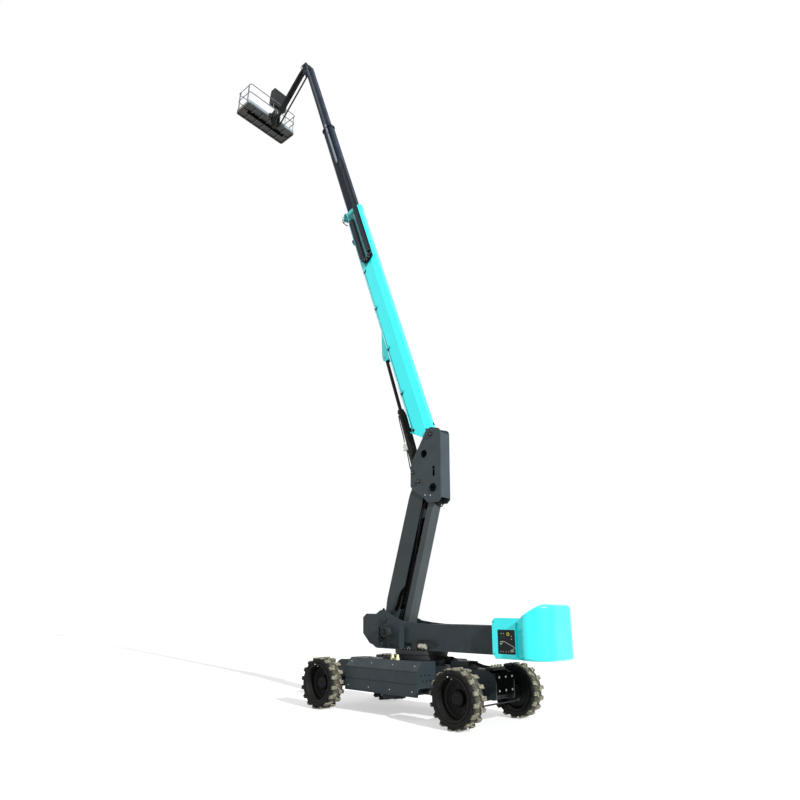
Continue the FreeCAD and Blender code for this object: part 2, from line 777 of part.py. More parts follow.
def boom_fly():
    top, bottom = section_mid + fly_depth, section_mid - fly_depth
    tube = hollow_section(fly_half, bottom, top, 38, 48, 48, fly_wall, fly_start, fly_end)
    fork = side([(fly_end - 300, bottom + 40), (fly_end - 300, top - 40), (fly_end + 60, top - 40, 60),
                 (tip_along + 70, tip_up + 130, 110), (tip_along + 130, tip_up - 120, 110),
                 (tip_along - 120, tip_up - 130, 60)], 85, fly_half)
    pads = []
    for s in (-1, 1):
        z0, z1 = sorted((section_mid + s * (fly_depth - 4), section_mid + s * (mid_depth - mid_wall - 0.5)))
        pads.append(block(fly_start + 20, fly_start + 160, -45, 45, z0, z1))
        y0, y1 = sorted((s * (fly_half - 4), s * (mid_half - mid_wall - 0.5)))
        pads.append(block(fly_start + 20, fly_start + 160, y0, y1, section_mid - 45, section_mid + 45))
    cap = block(fly_end - 30, fly_end - 10, -fly_half + 6, fly_half - 6, bottom + 20, top - 20)
    axis = pin((tip_along, tip_up), -fly_half - 15, fly_half + 15, jib_pin)
    tongue = block(fly_end - 70, fly_end + 10, fly_half - 8, tube_y() + 5, chain_middle - 28, chain_middle + 28)
    tongue = tongue.cut(tube_along(fly_end - 300, fly_end + 100, fly_tube_radius + seat))
    body = join([tube, cap, axis, tongue] + both(fork) + pads)
    return laid(body, boom_pivot, boom_angle)


def fly_hose_tube():
    start = mid_end - 320
    tube = tube_along(start, fly_end + 30, fly_tube_radius)
    return laid(tube, boom_pivot, boom_angle)


def lift_ram():
    top = offset(boom_pivot, lift_eye_along, lift_eye_up, boom_angle)
    span, lean = reach(lift_foot, top)
    cylinder = barrel(lift_barrel, lift_radius, lift_rod, 56, eye_half, ram_pin)
    rod = piston_rod(lift_barrel - 260, span, lift_rod, 58, eye_half)
    return laid(cylinder, lift_foot, lean), laid(rod, lift_foot, lean), span, lean


def chain_levels():
    inner, outer = chain_inner, chain_inner + chain_deep
    return (chain_middle + inner, chain_middle + outer), (chain_middle - outer, chain_middle - inner)


def chain_carrier():
    y0 = base_half + seat
    # its end comes to a point under the loop, both edges just clear of the links
    bottom, top = chain_middle - carrier_low, chain_middle + carrier_high
    plate = side([(chain_bend + carrier_tip[0], chain_middle + carrier_tip[1]), (chain_bend + 55, bottom),
                  (base_end - 150, bottom), (base_end - 150, top), (chain_bend - 150, top)], y0, y0 + 10)
    (_, _), (low, high) = chain_levels()
    shelf = block(chain_bend + 40, chain_fixed_end, y0 + 5, chain_out, low - 14, low - seat)
    return laid(join([plate, shelf]), boom_pivot, boom_angle)


def joints_along(start, end, edge, depth):
    # small vees between neighbouring links, from start to end along one edge
    step = math.copysign(link_pitch, end - start)
    count = int(abs(end - start) / link_pitch)
    corners = []
    for i in range(1, count + 1):
        x = start + i * step
        near, far = x - math.copysign(vee_half, step), x + math.copysign(vee_half, step)
        corners += [(near, edge), (x, edge - depth), (far, edge)]
    return corners


def around(angle, radius):
    a = math.radians(angle)
    return (chain_bend + radius * math.cos(a), chain_middle + radius * math.sin(a))


def energy_chain():
    (up_low, up_high), (low, high) = chain_levels()
    inner, outer = chain_inner, chain_inner + chain_deep
    start, end = chain_bend + 2, chain_fixed_end
    vees = joints_along(start, end - vee_half * 2, low, -vee_deep)
    fixed = side([(start, low)] + vees + [(end, low), (end, high), (start, high)], chain_in, chain_out)
    # the moving run: back along its outer edge, round the loop a link at a time, and out along the inner edge
    top_end = chain_top_end + 80
    edge = [(top_end, up_high)] + joints_along(top_end, chain_bend + link_pitch / 2, up_high, vee_deep)
    turn = 180 / links_in_loop
    for i in range(links_in_loop):
        a = 90 + i * turn
        edge += [around(a + swing, outer) for swing in (3, turn / 3, 2 * turn / 3, turn - 3)]
        if i < links_in_loop - 1:
            edge.append(around(a + turn, outer - vee_deep))
    edge += [around(270 - i * turn / 2, inner) for i in range(2 * links_in_loop + 1)]
    loop = side(edge + [(top_end, up_low)], chain_in, chain_out)
    clip = block(chain_top_end + 10, chain_top_end + 80, chain_in + 10, chain_out - 10,
                 chain_middle + tube_radius - 4, up_low + 5)
    clip = clip.cut(tube_hole(chain_top_end - 50, chain_top_end + 400))
    return laid(fixed, boom_pivot, boom_angle), laid(join([loop, clip]), boom_pivot, boom_angle)


def boom():
    save("upright", upright())
    save("boom_base", boom_base())
    save("boom_mid", boom_mid())
    save("boom_fly", boom_fly())
    save("hose_tube", hose_tube())
    save("fly_hose_tube", fly_hose_tube())
    cylinder, rod, span, lean = lift_ram()
    save("lift_ram_barrel", cylinder)
    save("lift_ram_rod", rod)
    print("lift ram", span, lean)
    save("chain_carrier", chain_carrier())
    fixed, moving = energy_chain()
    save("energy_chain_fixed", fixed)
    save("energy_chain_moving", moving)


# ---------------------------------------------------------------- jib and platform
def jib_bracket():
    near, far = jib_half + 6, jib_half + 30
    foot = -jib_link_drop - 55
    cheek = side([(-85, 80, 80), (85, 80, 80), (60, foot, 50), (-60, foot, 50)], near, far)
    web = block(-72, -50, -far + 2, far - 2, -jib_link_drop + 20, -110)
    pieces = both(cheek) + [web]
    pieces.append(pin((0, -jib_link_drop), jib_link_y - 28, far, 22))
    pieces += both(pin((0, -jib_ram_foot_drop), jib_half - 10, near + 1, 40))
    pieces.append(pin((0, -jib_ram_foot_drop), -near - 1, near + 1, 25))
    body = join(pieces).cut(pin((0, 0), -200, 200, jib_pin + running))
    return laid(body, tip_point, 0)


def jib_arm():
    d, h = jib_depth, jib_half
    body = side([(-d, -d, d - 1), (-d, d, d - 1), (jib_length + 75, d, 60), (jib_length + 75, -d, 60)], -h, h)
    body = body.cut(block(160, jib_length - 160, -h + 8, h - 8, -d + 8, d - 8))
    lugs = side([(jib_ram_along - 110, -d + 3), (jib_ram_along - 40, -jib_ram_off - 42, 30),
                 (jib_ram_along + 40, -jib_ram_off - 42, 30), (jib_ram_along + 110, -d + 3)], 36, h)
    body = join([body] + both(lugs))
    body = body.cut(pin((0, 0), -200, 200, jib_pin + running))
    body = body.cut(pin((jib_length, 0), -200, 200, 30 + running))
    return laid(body, tip_point, jib_angle)


def jib_link():
    y0, y1 = jib_link_y - 20, jib_link_y + 20
    body = side([(-35, -35, 34), (-35, 35, 34), (jib_length + 35, 35, 34), (jib_length + 35, -35, 34)], y0, y1)
    for x in (0, jib_length):
        body = body.cut(pin((x, 0), -300, 300, 22 + running))
    x, z = tip_point
    return laid(body, (x, z - jib_link_drop), jib_angle)


def jib_ram():
    x, z = tip_point
    foot = (x, z - jib_ram_foot_drop)
    top = offset(tip_point, jib_ram_along, -jib_ram_off, jib_angle)
    span, lean = reach(foot, top)
    cylinder = barrel(720, 38, 20, 40, 34, 25)
    rod = piston_rod(300, span, 20, 34, 31)
    return laid(cylinder, foot, lean), laid(rod, foot, lean), span, lean


def platform_support():
    x, z = jib_point
    near, far = jib_half + 6, jib_half + 30
    cheek = side([(x - 75, z + 75, 70), (x + 75, z + 75, 70), (x + 120, z - 95), (post_x - 60, z - 95),
                  (post_x - 60, z - jib_link_drop + 10), (x + 55, z - jib_link_drop - 50, 45),
                  (x - 55, z - jib_link_drop - 50, 45)], near, far)
    block_low, block_high = z - jib_link_drop, z - 90
    pieces = both(cheek)
    pieces.append(block(x + 150, post_x + 60, -far + 1, far - 1, block_low + 10, block_high))
    pieces.append(post(post_x, 0, block_low + 10, block_high + 620, post_radius))
    pieces.append(pin((x, z - jib_link_drop), jib_link_y - 28, far, 22))
    pieces.append(pin((x, z), -far - 12, far + 12, 30))
    return join(pieces)


def platform_mount():
    x, z = jib_point
    low, high = z - 90 + seat, z + 440
    sleeve = post(post_x, 0, low, high, post_radius + 35)
    arm = block(post_x + 60, platform_rear - seat, -70, 70, low, high)
    foot = block(platform_rear - 110, platform_rear - seat, -210, 210, platform_floor - 40, platform_floor + 130)
    body = join([sleeve, arm, foot])
    return body.cut(post(post_x, 0, low - 1, high + 1, post_radius + running))


def deck_outline(inset, radius):
    r, f, h = platform_rear + inset, platform_front - inset, platform_half - inset
    return [(r, -h, radius), (f, -h, radius), (f, h, radius), (r, h, radius)]


def platform_floor_frame():
    r, f, h = platform_rear, platform_front, platform_half
    outer = plan(deck_outline(0, 90), platform_floor, platform_floor + floor_deep)
    inner = plan(deck_outline(50, 40), platform_floor - 1, platform_floor + floor_deep - 5)
    frame = outer.cut(inner)
    ribs = [block(r + 40, f - 40, y - 20, y + 20, platform_floor, platform_floor + floor_deep - 4)
            for y in (-800, -400, 0, 400, 800)]
    middle = (r + f) / 2
    ribs.append(block(middle - 20, middle + 20, -h + 40, h - 40, platform_floor, platform_floor + floor_deep - 4))
    tread = plan(deck_outline(60, 30), platform_floor + floor_deep - 3, platform_floor + floor_deep + tread_rise)
    return join([frame, tread] + ribs)


def kick_plate():
    r, f, h, t = platform_rear, platform_front, platform_half, kick_plate_thick
    z0 = platform_floor + floor_deep + seat
    z1 = platform_floor + kick_height + 20
    outer = plan(deck_outline(0, 90), z0, z1)
    inner = plan(deck_outline(t, 84), z0 - 1, z1 + 1)
    gap = block(gate_rear, gate_front, h - 50, h + 50, z0 - 1, z1 + 1)
    return outer.cut(inner).cut(gap)


def tube_path(points, radius, bend):
    # round tube through the points with bent corners
    wire = outline_open(points, bend)
    first = points[0]
    direction = (Vector(*points[1]) - Vector(*first)).normalize()
    circle = Part.Wire(Part.makeCircle(radius, Vector(*first), direction))
    return wire.makePipeShell([circle], True, True)


def outline_open(points, bend):
    vectors = [Vector(*p) for p in points]
    edges = []
    here = vectors[0]
    for i in range(1, len(vectors) - 1):
        corner = vectors[i]
        back = (vectors[i - 1] - corner).normalize()
        ahead = (vectors[i + 1] - corner).normalize()
        half = back.getAngle(ahead) / 2
        reach_in = bend / math.tan(half)
        start, end = corner + back * reach_in, corner + ahead * reach_in
        inward = (back + ahead).normalize()
        middle = corner + inward * (bend / math.sin(half) - bend)
        edges.append(Part.LineSegment(here, start).toShape())
        edges.append(Part.Arc(start, middle, end).toShape())
        here = end
    edges.append(Part.LineSegment(here, vectors[-1]).toShape())
    return Part.Wire(edges)


def rails():
    r, f, h = platform_rear + rail_inset, platform_front - rail_inset, platform_half - rail_inset
    foot = platform_floor + floor_deep + seat
    pieces = []
    for z in (rail_top - rail_radius, rail_mid):
        path = [(gate_rear + 10, h, z), (r, h, z), (r, -h, z), (f, -h, z), (f, h, z), (gate_front - 10, h, z)]
        pieces.append(tube_path(path, rail_radius, 90))
    hinge = gate_rear + 2 * rail_radius + 12
    for z in (platform_floor + 115, rail_top - rail_radius + seat):
        pieces.append(block(gate_rear, hinge + 14, h - 14, h + 14, z, z + 15 - seat))
    for x, y in ((gate_rear, h), (gate_front, h), (r, -700), (f, 700), (f, -700), (f, 0),
                 (gate_rear, -h), (gate_front, -h), (r, -420)):
        pieces.append(post(x, y, foot, rail_top - rail_radius, rail_radius - 2))
    return join(pieces)


def gate():
    x0, x1 = gate_rear + 2 * rail_radius + 12, gate_front - 2 * rail_radius - 12
    y = platform_half - rail_inset
    low = platform_floor + 130
    pieces = [post(x0, y, low, rail_top - rail_radius, 16), post(x1, y, low, rail_top - rail_radius, 16)]
    for z in (low + 16, rail_mid, rail_top - rail_radius - 16):
        pieces.append(bar((x0, y, z), (x1, y, z), 16))
    return join(pieces)


def console():
    # control box with a ribbed cover, hung on the rail and standing above it
    x0, x1, y0, y1 = platform_rear, platform_rear + 360, -700, 0
    inner = platform_rear + rail_inset + rail_radius + seat
    low, high, step = rail_top - 160, rail_top + console_rise, rail_top + seat
    body = side([(inner, low), (inner, step), (x0, step), (x0, high, 40), (x1 - 60, high, 40),
                 (x1, high - 380, 30),
                 (x1, low + 120, 40), (x1 - 120, low)], y0, y1)
    count = 7
    pitch = (y1 - y0 - 80) / count
    ribs = [block(x0 - 1, x0 + 18, y0 + 60 + i * pitch, y0 + 98 + i * pitch, step + 70, high - 70)
            for i in range(count)]
    return body.cut(Part.makeCompound(ribs))


def platform():
    save("jib_bracket", jib_bracket())
    save("jib_arm", jib_arm())
    save("jib_link", jib_link())
    cylinder, rod, span, lean = jib_ram()
    save("jib_ram_barrel", cylinder)
    save("jib_ram_rod", rod)
    print("jib ram", span, lean, "tip", tip_point, "end", jib_point)
    save("platform_support", platform_support())
    save("platform_mount", platform_mount())
    save("platform_floor", platform_floor_frame())
    save("kick_plate", kick_plate())
    save("platform_rails", rails())
    save("platform_gate", gate())
    save("platform_console", console())


wheels()
chassis()
turntable()
riser()
boom()
platform()
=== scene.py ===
import bpy
import bmesh
import json
import math
from functools import partial
from mathutils import Matrix, Vector

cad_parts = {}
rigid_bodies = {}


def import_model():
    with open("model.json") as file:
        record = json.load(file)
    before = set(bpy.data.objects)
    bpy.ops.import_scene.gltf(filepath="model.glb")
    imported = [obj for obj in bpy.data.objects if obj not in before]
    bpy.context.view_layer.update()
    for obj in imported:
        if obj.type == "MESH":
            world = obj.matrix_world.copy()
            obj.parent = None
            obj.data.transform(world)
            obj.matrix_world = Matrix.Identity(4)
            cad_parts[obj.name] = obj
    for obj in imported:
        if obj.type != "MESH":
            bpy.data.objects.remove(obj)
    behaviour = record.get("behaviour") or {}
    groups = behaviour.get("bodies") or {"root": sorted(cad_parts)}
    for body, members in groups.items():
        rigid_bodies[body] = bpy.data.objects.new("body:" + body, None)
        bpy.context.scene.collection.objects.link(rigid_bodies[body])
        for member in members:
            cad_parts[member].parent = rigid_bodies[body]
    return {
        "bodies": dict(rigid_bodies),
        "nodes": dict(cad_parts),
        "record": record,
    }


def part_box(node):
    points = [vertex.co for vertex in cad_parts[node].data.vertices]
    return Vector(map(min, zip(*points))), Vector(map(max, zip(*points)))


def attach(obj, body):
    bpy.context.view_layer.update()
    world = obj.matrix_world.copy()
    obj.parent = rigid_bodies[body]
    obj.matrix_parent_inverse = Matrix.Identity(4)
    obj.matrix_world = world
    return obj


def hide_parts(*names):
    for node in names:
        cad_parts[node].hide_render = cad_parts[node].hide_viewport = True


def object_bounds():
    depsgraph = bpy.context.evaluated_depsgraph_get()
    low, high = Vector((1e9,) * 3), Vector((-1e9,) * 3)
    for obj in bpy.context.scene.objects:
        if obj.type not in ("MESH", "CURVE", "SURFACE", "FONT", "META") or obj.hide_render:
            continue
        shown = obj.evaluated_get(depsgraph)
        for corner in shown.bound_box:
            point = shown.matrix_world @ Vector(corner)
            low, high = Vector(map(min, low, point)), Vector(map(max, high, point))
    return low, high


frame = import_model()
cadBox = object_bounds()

nodes = frame["nodes"]
joints = {j["name"]: j for j in frame["record"]["behaviour"]["joints"]}
bothSides = ((1, "left"), (-1, "right"))


# ---- where things are
def jointAt(name):
    return Vector(joints[name]["pos_m"])


def lineFrame(start, angle):
    # along the line, out towards +Y, and up from it
    return Matrix.Translation(start) @ Matrix.Rotation(-angle, 4, "Y")


def angleOf(start, end):
    return math.atan2(end.z - start.z, end.x - start.x)


middleX = (jointAt("spin_front_left").x + jointAt("spin_rear_left").x) / 2
slewAt = jointAt("slew")
riserFoot = jointAt("riser_lower")
riserHead = jointAt("upright_level")
boomRoot = jointAt("boom_lower")
boomTip = jointAt("jib_raise")
jibEnd = jointAt("platform_level")
liftFoot = jointAt("lift_ram_swing")
lean = {"boom": math.radians(70), "riserRam": math.radians(106.297), "liftRam": math.radians(71.4718)}
boomFrame = lineFrame(boomRoot, lean["boom"])
riserFrame = lineFrame(riserFoot, angleOf(riserFoot, riserHead))
riserRamFrame = lineFrame(jointAt("riser_ram_swing"), lean["riserRam"])
liftRamFrame = lineFrame(liftFoot, lean["liftRam"])
jibFrame = lineFrame(boomTip, angleOf(boomTip, jibEnd))
machineFrame = Matrix.Translation((middleX, 0, 0))
riserLength = (riserHead - riserFoot).length
jibLength = (jibEnd - boomTip).length


# ---- colour and nodes
def srgb(code, alpha=1.0):
    parts = [int(code[i:i + 2], 16) / 255 for i in (1, 3, 5)]
    linear = [p / 12.92 if p <= 0.04045 else ((p + 0.055) / 1.055) ** 2.4 for p in parts]
    return (*linear, alpha)


def feed(node, links):
    for key, socket in links.items():
        node.id_data.links.new(socket, node.inputs[key])


def addNode(tree, kind, settings=None, links=None):
    node = tree.nodes.new(kind)
    for key, value in (settings or {}).items():
        if isinstance(key, int) or key in node.inputs:
            node.inputs[key].default_value = value
        else:
            setattr(node, key, value)
    feed(node, links or {})
    return node


def emptyTree(owner):
    owner.use_nodes = True
    owner.node_tree.nodes.clear()
    return owner.node_tree


def newMaterial(name):
    material = bpy.data.materials.new(name)
    tree = emptyTree(material)
    shader = addNode(tree, "ShaderNodeBsdfPrincipled")
    addNode(tree, "ShaderNodeOutputMaterial", links={"Surface": shader.outputs["BSDF"]})
    return material, tree, shader


def combined(tree, operation, first, second):
    links = {0: first}
    settings = {"operation": operation}
    (settings if isinstance(second, float) else links)[1] = second
    return addNode(tree, "ShaderNodeMath", settings, links).outputs[0]


def ranged(tree, value, settings):
    return addNode(tree, "ShaderNodeMapRange", settings, {"Value": value}).outputs["Result"]


def objectCoord(tree):
    return addNode(tree, "ShaderNodeTexCoord").outputs["Object"]


def noise(tree, sizeMm, detail):
    settings = {"Scale": 1000.0 / sizeMm, "Detail": detail}
    return addNode(tree, "ShaderNodeTexNoise", settings, {"Vector": objectCoord(tree)}).outputs["Fac"]


def speckle(tree, sizeMm, detail=3.0, low=0.35, high=0.65):
    # soft patches about sizeMm across, from 0 to 1
    return ranged(tree, noise(tree, sizeMm, detail), {"From Min": low, "From Max": high})


def blendColours(tree, factor, first, second):
    mix = addNode(tree, "ShaderNodeMix", {"data_type": "RGBA"}, {0: factor})
    for slot, value in ((6, first), (7, second)):
        if isinstance(value, str):
            mix.inputs[slot].default_value = srgb(value)
        else:
            feed(mix, {slot: value})
    return mix.outputs[2]


def bumped(tree, shader, height, strength, distance, invert=False):
    settings = {"Strength": strength, "Distance": distance, "invert": invert}
    feed(shader, {"Normal": addNode(tree, "ShaderNodeBump", settings, {"Height": height}).outputs["Normal"]})


def roughened(tree, shader, finish, value, span):
    feed(shader, {"Roughness": ranged(tree, value,
            {"To Min": finish["rough"], "To Max": finish["rough"] + span})})


def setSockets(shader, values):
    for key, value in values.items():
        shader.inputs[key].default_value = value


def coated(name, finish):
    # sprayed steel: orange peel, faint clouding, and dust that settles on what faces up
    material, tree, shader = newMaterial(name)
    patches = speckle(tree, finish["patchMm"])
    colour = blendColours(tree, patches, finish["colour"], finish["shade"])
    normal = addNode(tree, "ShaderNodeNewGeometry").outputs["Normal"]
    up = addNode(tree, "ShaderNodeSeparateXYZ", links={"Vector": normal}).outputs["Z"]
    facing = ranged(tree, up, {"From Min": 0.55, "From Max": 1.0, "To Max": finish["dust"]})
    grime = combined(tree, "MULTIPLY", facing, speckle(tree, finish["patchMm"] * 0.4, 5.0))
    feed(shader, {"Base Color": blendColours(tree, grime, colour, finish["dustColour"])})
    roughened(tree, shader, finish, patches, 0.12)
    bumped(tree, shader, noise(tree, finish["peelMm"], 2.0), finish["peel"], 0.002)
    setSockets(shader, {"Specular IOR Level": finish["shine"], "Coat Weight": finish["coat"],
            "Coat Roughness": 0.06})
    return material


def grained(name, finish, kind, extra, socket, roughSpan, bumpStrength, constants):
    # one fine texture that sets both how rough the surface is and how it stands out
    material, tree, shader = newMaterial(name)
    settings = {"Scale": 1000.0 / finish["grainMm"], **extra}
    grain = addNode(tree, "ShaderNodeTex" + kind, settings, {"Vector": objectCoord(tree)}).outputs[socket]
    patches = speckle(tree, finish["patchMm"])
    feed(shader, {"Base Color": blendColours(tree, patches, finish["colour"], finish["shade"])})
    roughened(tree, shader, finish, grain, roughSpan)
    bumped(tree, shader, grain, bumpStrength, 0.001)
    setSockets(shader, constants)
    return material


def bareMetal(name, finish):
    # metal with turning or draw marks too fine to count, drawn a little coarser so that they show
    return grained(name, finish, "Noise", {"Detail": 4.0}, "Fac", 0.2, 0.15, {"Metallic": finish["metallic"]})


def moulded(name, finish):
    # moulded plastic or rubber with a fine leathery grain
    return grained(name, finish, "Voronoi", {}, "Distance", 0.15, 0.25, {"Specular IOR Level": 0.18})


def tyreRubber(name, finish, centre):
    # carbon-black rubber: clean in the grooves, with pale dried dust where the blocks meet the ground
    material, tree, shader = newMaterial(name)
    settings = {"Location": tuple(-c for c in centre)}
    moved = addNode(tree, "ShaderNodeMapping", settings, {"Vector": objectCoord(tree)})
    split = addNode(tree, "ShaderNodeSeparateXYZ", links={"Vector": moved.outputs["Vector"]})
    flat = addNode(tree, "ShaderNodeCombineXYZ", links={"X": split.outputs["X"], "Z": split.outputs["Z"]})
    radius = addNode(tree, "ShaderNodeVectorMath", {"operation": "LENGTH"}, {0: flat.outputs["Vector"]})
    worn = ranged(tree, radius.outputs["Value"], {"From Min": finish["cleanTo"],
            "From Max": finish["dustyFrom"]})
    dusty = combined(tree, "MULTIPLY", worn, speckle(tree, finish["patchMm"], 6.0, low=0.2, high=0.6))
    base = blendColours(tree, speckle(tree, 60.0), finish["colour"], finish["shade"])
    dust = blendColours(tree, speckle(tree, 25.0, 4.0), finish["dust"], finish["dustDark"])
    feed(shader, {"Base Color": blendColours(tree, dusty, base, dust)})
    bumped(tree, shader, noise(tree, finish["grainMm"], 4.0), 0.35, 0.003)
    setSockets(shader, {"Roughness": 0.82, "Specular IOR Level": 0.2})
    return material


def deckPlate(name, finish):
    # expanded steel: short pale bars laid slantwise in staggered rows, with dark gaps between them
    material, tree, shader = newMaterial(name)
    turned = addNode(tree, "ShaderNodeMapping", {"Rotation": (0, 0, math.radians(45))},
        {"Vector": objectCoord(tree)})
    settings = {"Scale": 1.0, "Mortar Size": finish["gapMm"] / 1000, "Brick Width": finish["barMm"] / 1000,
        "Row Height": finish["rowMm"] / 1000, "Color1": srgb(finish["colour"]),
        "Color2": srgb(finish["shade"]), "Mortar": srgb(finish["groove"])}
    bars = addNode(tree, "ShaderNodeTexBrick", settings, {"Vector": turned.outputs["Vector"]})
    feed(shader, {"Base Color": bars.outputs["Color"]})
    bumped(tree, shader, bars.outputs["Fac"], 0.5, 0.003, invert=True)
    setSockets(shader, {"Roughness": 0.55, "Metallic": 0.3})
    return material


# two-pack enamels with soft highlights
enamelFields = ("colour", "shade", "dustColour", "patchMm", "peelMm", "peel", "rough", "coat", "dust",
    "shine")
enamels = {
    "turquoise": ("#22f6f8", "#1ef0f4", "#8ff2f0", 600, 6, 0.04, 0.3, 0.6, 0.12, 0.5),
    "turquoiseDeep": ("#1f8f90", "#1a7f80", "#5fb0ac", 200, 6, 0.05, 0.4, 0.1, 0.1, 0.4),
    "slate": ("#2c3539", "#283135", "#4a4c4c", 350, 5, 0.06, 0.42, 0.0, 0.3, 0.25),
    "riserSlate": ("#353d3f", "#31393b", "#505252", 500, 5, 0.06, 0.42, 0.0, 0.2, 0.25),
    # riserSlate made lighter for the link: painted light on the link's sunward faces
    "linkSlate": ("#3f4648", "#3b4244", "#5c5e5e", 500, 5, 0.06, 0.42, 0.0, 0.2, 0.25),
    "uprightSlate": ("#3a4449", "#363f44", "#545a60", 350, 5, 0.06, 0.42, 0.0, 0.2, 0.25),
    "sectionNavy": ("#1e2a38", "#172230", "#3c4654", 500, 5, 0.05, 0.35, 0.0, 0.15, 0.1),
    "black": ("#131415", "#0f1011", "#33322e", 120, 4, 0.08, 0.45, 0.0, 0.25, 0.25),
    # matte black without sheen: painted shade behind holes, in the upright's slot and in the riser's gap, and
    # plain flat black on hoses, the frame's end plate and the floor band
    "primerBlack": ("#060707", "#090a0a", "#101010", 100, 4, 0.05, 0.9, 0.0, 0.0, 0.02),
    "wheelBlack": ("#101111", "#151412", "#3a3831", 90, 4, 0.1, 0.5, 0.0, 0.2, 0.2),
    "railGrey": ("#6d747b", "#646b72", "#7a7d7e", 150, 4, 0.06, 0.35, 0.1, 0.15, 0.4),
    "kickGrey": ("#7f8e98", "#74838d", "#7c7e7d", 200, 4, 0.06, 0.4, 0.1, 0.2, 0.4),
    "yellow": ("#c9e032", "#bcd22a", "#d9d26a", 30, 3, 0.03, 0.3, 0.3, 0.05, 0.4),
    "red": ("#c92a22", "#b1221c", "#c76a60", 30, 3, 0.03, 0.3, 0.4, 0.05, 0.5),
}
# chromed, plated, machined, cast and nitrided steel and iron
metalFields = ("colour", "shade", "patchMm", "grainMm", "rough", "metallic")
metals = {
    "hardChrome": ("#d9dbdd", "#c9ccd0", 200, 3, 0.1, 1.0),
    "zincPlate": ("#d8d8d0", "#bdbdb2", 15, 2, 0.3, 0.6),
    "machinedSteel": ("#b9b7ab", "#9c998d", 40, 2, 0.35, 0.5),
    "castIron": ("#1d1f21", "#151719", 60, 3, 0.5, 0.3),
    "nitridedBlack": ("#17181a", "#101113", 200, 3, 0.25, 0.7),
    "zincYellow": ("#dcdcb4", "#c4c49a", 15, 2, 0.4, 0.3),
}
# nylon links and rungs, moulded covers, rubber hose and printed lines
plasticFields = ("colour", "shade", "patchMm", "grainMm", "rough")
plastics = {
    "nylonBlack": ("#0d0e10", "#131416", 40, 3, 0.5),
    "absBlack": ("#1c1e20", "#222427", 80, 2.5, 0.45),
    "hoseRubber": ("#151617", "#202020", 30, 2, 0.6),
    "studGrey": ("#565f6b", "#454d58", 30, 2, 0.5),
    # pale rungs; the same pale gives the boom's pipe a painted reflection
    "rungPale": ("#9fdcdf", "#7cc4c8", 90, 3, 0.5),
    "markGrey": ("#c8d4cc", "#b6c4ba", 20, 2, 0.5),
}
made = {}
for finishes, fields, maker, ending in ((enamels, enamelFields, coated, "Enamel"),
        (metals, metalFields, bareMetal, ""), (plastics, plasticFields, moulded, "")):
    for key, values in finishes.items():
        made[key] = maker(key + ending, dict(zip(fields, values)))
made["meshFloor"] = deckPlate("expandedSteelFloor",
    {"colour": "#62635f", "shade": "#565753", "groove": "#3c3d3a", "gapMm": 9, "barMm": 45, "rowMm": 28})
print("materials made", len(made))

paintedNodes = {
    "slate": "chassis_frame battery_boxes turntable_frame",
    "black": "front_axle rear_axle rear_knuckle_left rear_knuckle_right rear_tie_rod riser_ram_barrel "
             "lift_ram_barrel jib_arm jib_link jib_ram_barrel platform_support platform_mount",
    "castIron": "slew_ring_gear slew_ring_race slew_drive",
    "turquoise": "counterweight side_covers boom_base",
    "turquoiseDeep": "chain_carrier",
    "absBlack": "control_panel platform_console",
    "riserSlate": "riser_arm",
    "linkSlate": "riser_link",
    "uprightSlate": "upright fly_hose_tube",
    "sectionNavy": "boom_mid boom_fly jib_bracket",
    "railGrey": "hose_tube platform_rails platform_gate",
    "hardChrome": "riser_ram_rod",
    "nitridedBlack": "lift_ram_rod jib_ram_rod",
    "nylonBlack": "energy_chain_fixed energy_chain_moving",
    "meshFloor": "platform_floor",
    "kickGrey": "kick_plate",
}
nodeFinish = {name: key for key, names in paintedNodes.items() for name in names.split()}
for name, node in nodes.items():
    node.data.materials.clear()
    node.data.materials.append(made[nodeFinish.get(name, "wheelBlack")])
print("CAD nodes painted", len(nodes))


# ---- making pieces
def addBox(bm, low, high):
    corners = bmesh.ops.create_cube(bm, size=1.0)["verts"]
    bmesh.ops.scale(bm, vec=[h - l for l, h in zip(low, high)], verts=corners)
    bmesh.ops.translate(bm, vec=[(h + l) / 2 for l, h in zip(low, high)], verts=corners)


def addRod(bm, start, end, radius, sides=16, endRadius=None):
    start, end = Vector(start), Vector(end)
    line = end - start
    turn = line.to_track_quat("Z", "Y").to_matrix().to_4x4()
    bmesh.ops.create_cone(bm, cap_ends=True, segments=sides, radius1=radius,
        radius2=radius if endRadius is None else endRadius, depth=line.length,
        matrix=Matrix.Translation((start + end) / 2) @ turn)


def addPin(bm, at, near, far, radius, sides=28):
    # a rod along Y, at x and z
    addRod(bm, (at[0], near, at[1]), (at[0], far, at[1]), radius, sides)


def addPrism(bm, low, high):
    # the solid between two outlines of as many corners; gives back the second one's face
    near, far = [[bm.verts.new(at) for at in outline] for outline in (low, high)]
    bm.faces.new(near)
    roof = bm.faces.new(far)
    for i, corner in enumerate(near):
        after = (i + 1) % len(near)
        bm.faces.new((corner, near[after], far[after], far[i]))
    return roof


def addPlate(bm, outline, low, high):
    # outline is (x, z) seen from the side, drawn out along Y from low to high
    addPrism(bm, *[[(x, y, z) for x, z in outline] for y in sorted((low, high))])


def addTurned(bm, profile, segments, closed=True, x=0.0, z=0.0):
    # profile is (y, radius), turned about a line along Y through (x, z)
    rings = []
    for i in range(segments):
        a = 2 * math.pi * i / segments
        rings.append([bm.verts.new((x + r * math.sin(a), y, z + r * math.cos(a))) for y, r in profile])
    count = len(profile)
    for i in range(segments):
        here, after = rings[i], rings[(i + 1) % segments]
        for j in range(count if closed else count - 1):
            k = (j + 1) % count
            bm.faces.new((here[j], here[k], after[k], after[j]))


def oval(x, z, across, up, count, stretch=0.0):
    turns = [2 * math.pi * k / count for k in range(count)]
    return [(x + across * math.cos(a) + math.copysign(stretch, math.cos(a)), z + up * math.sin(a))
        for a in turns]


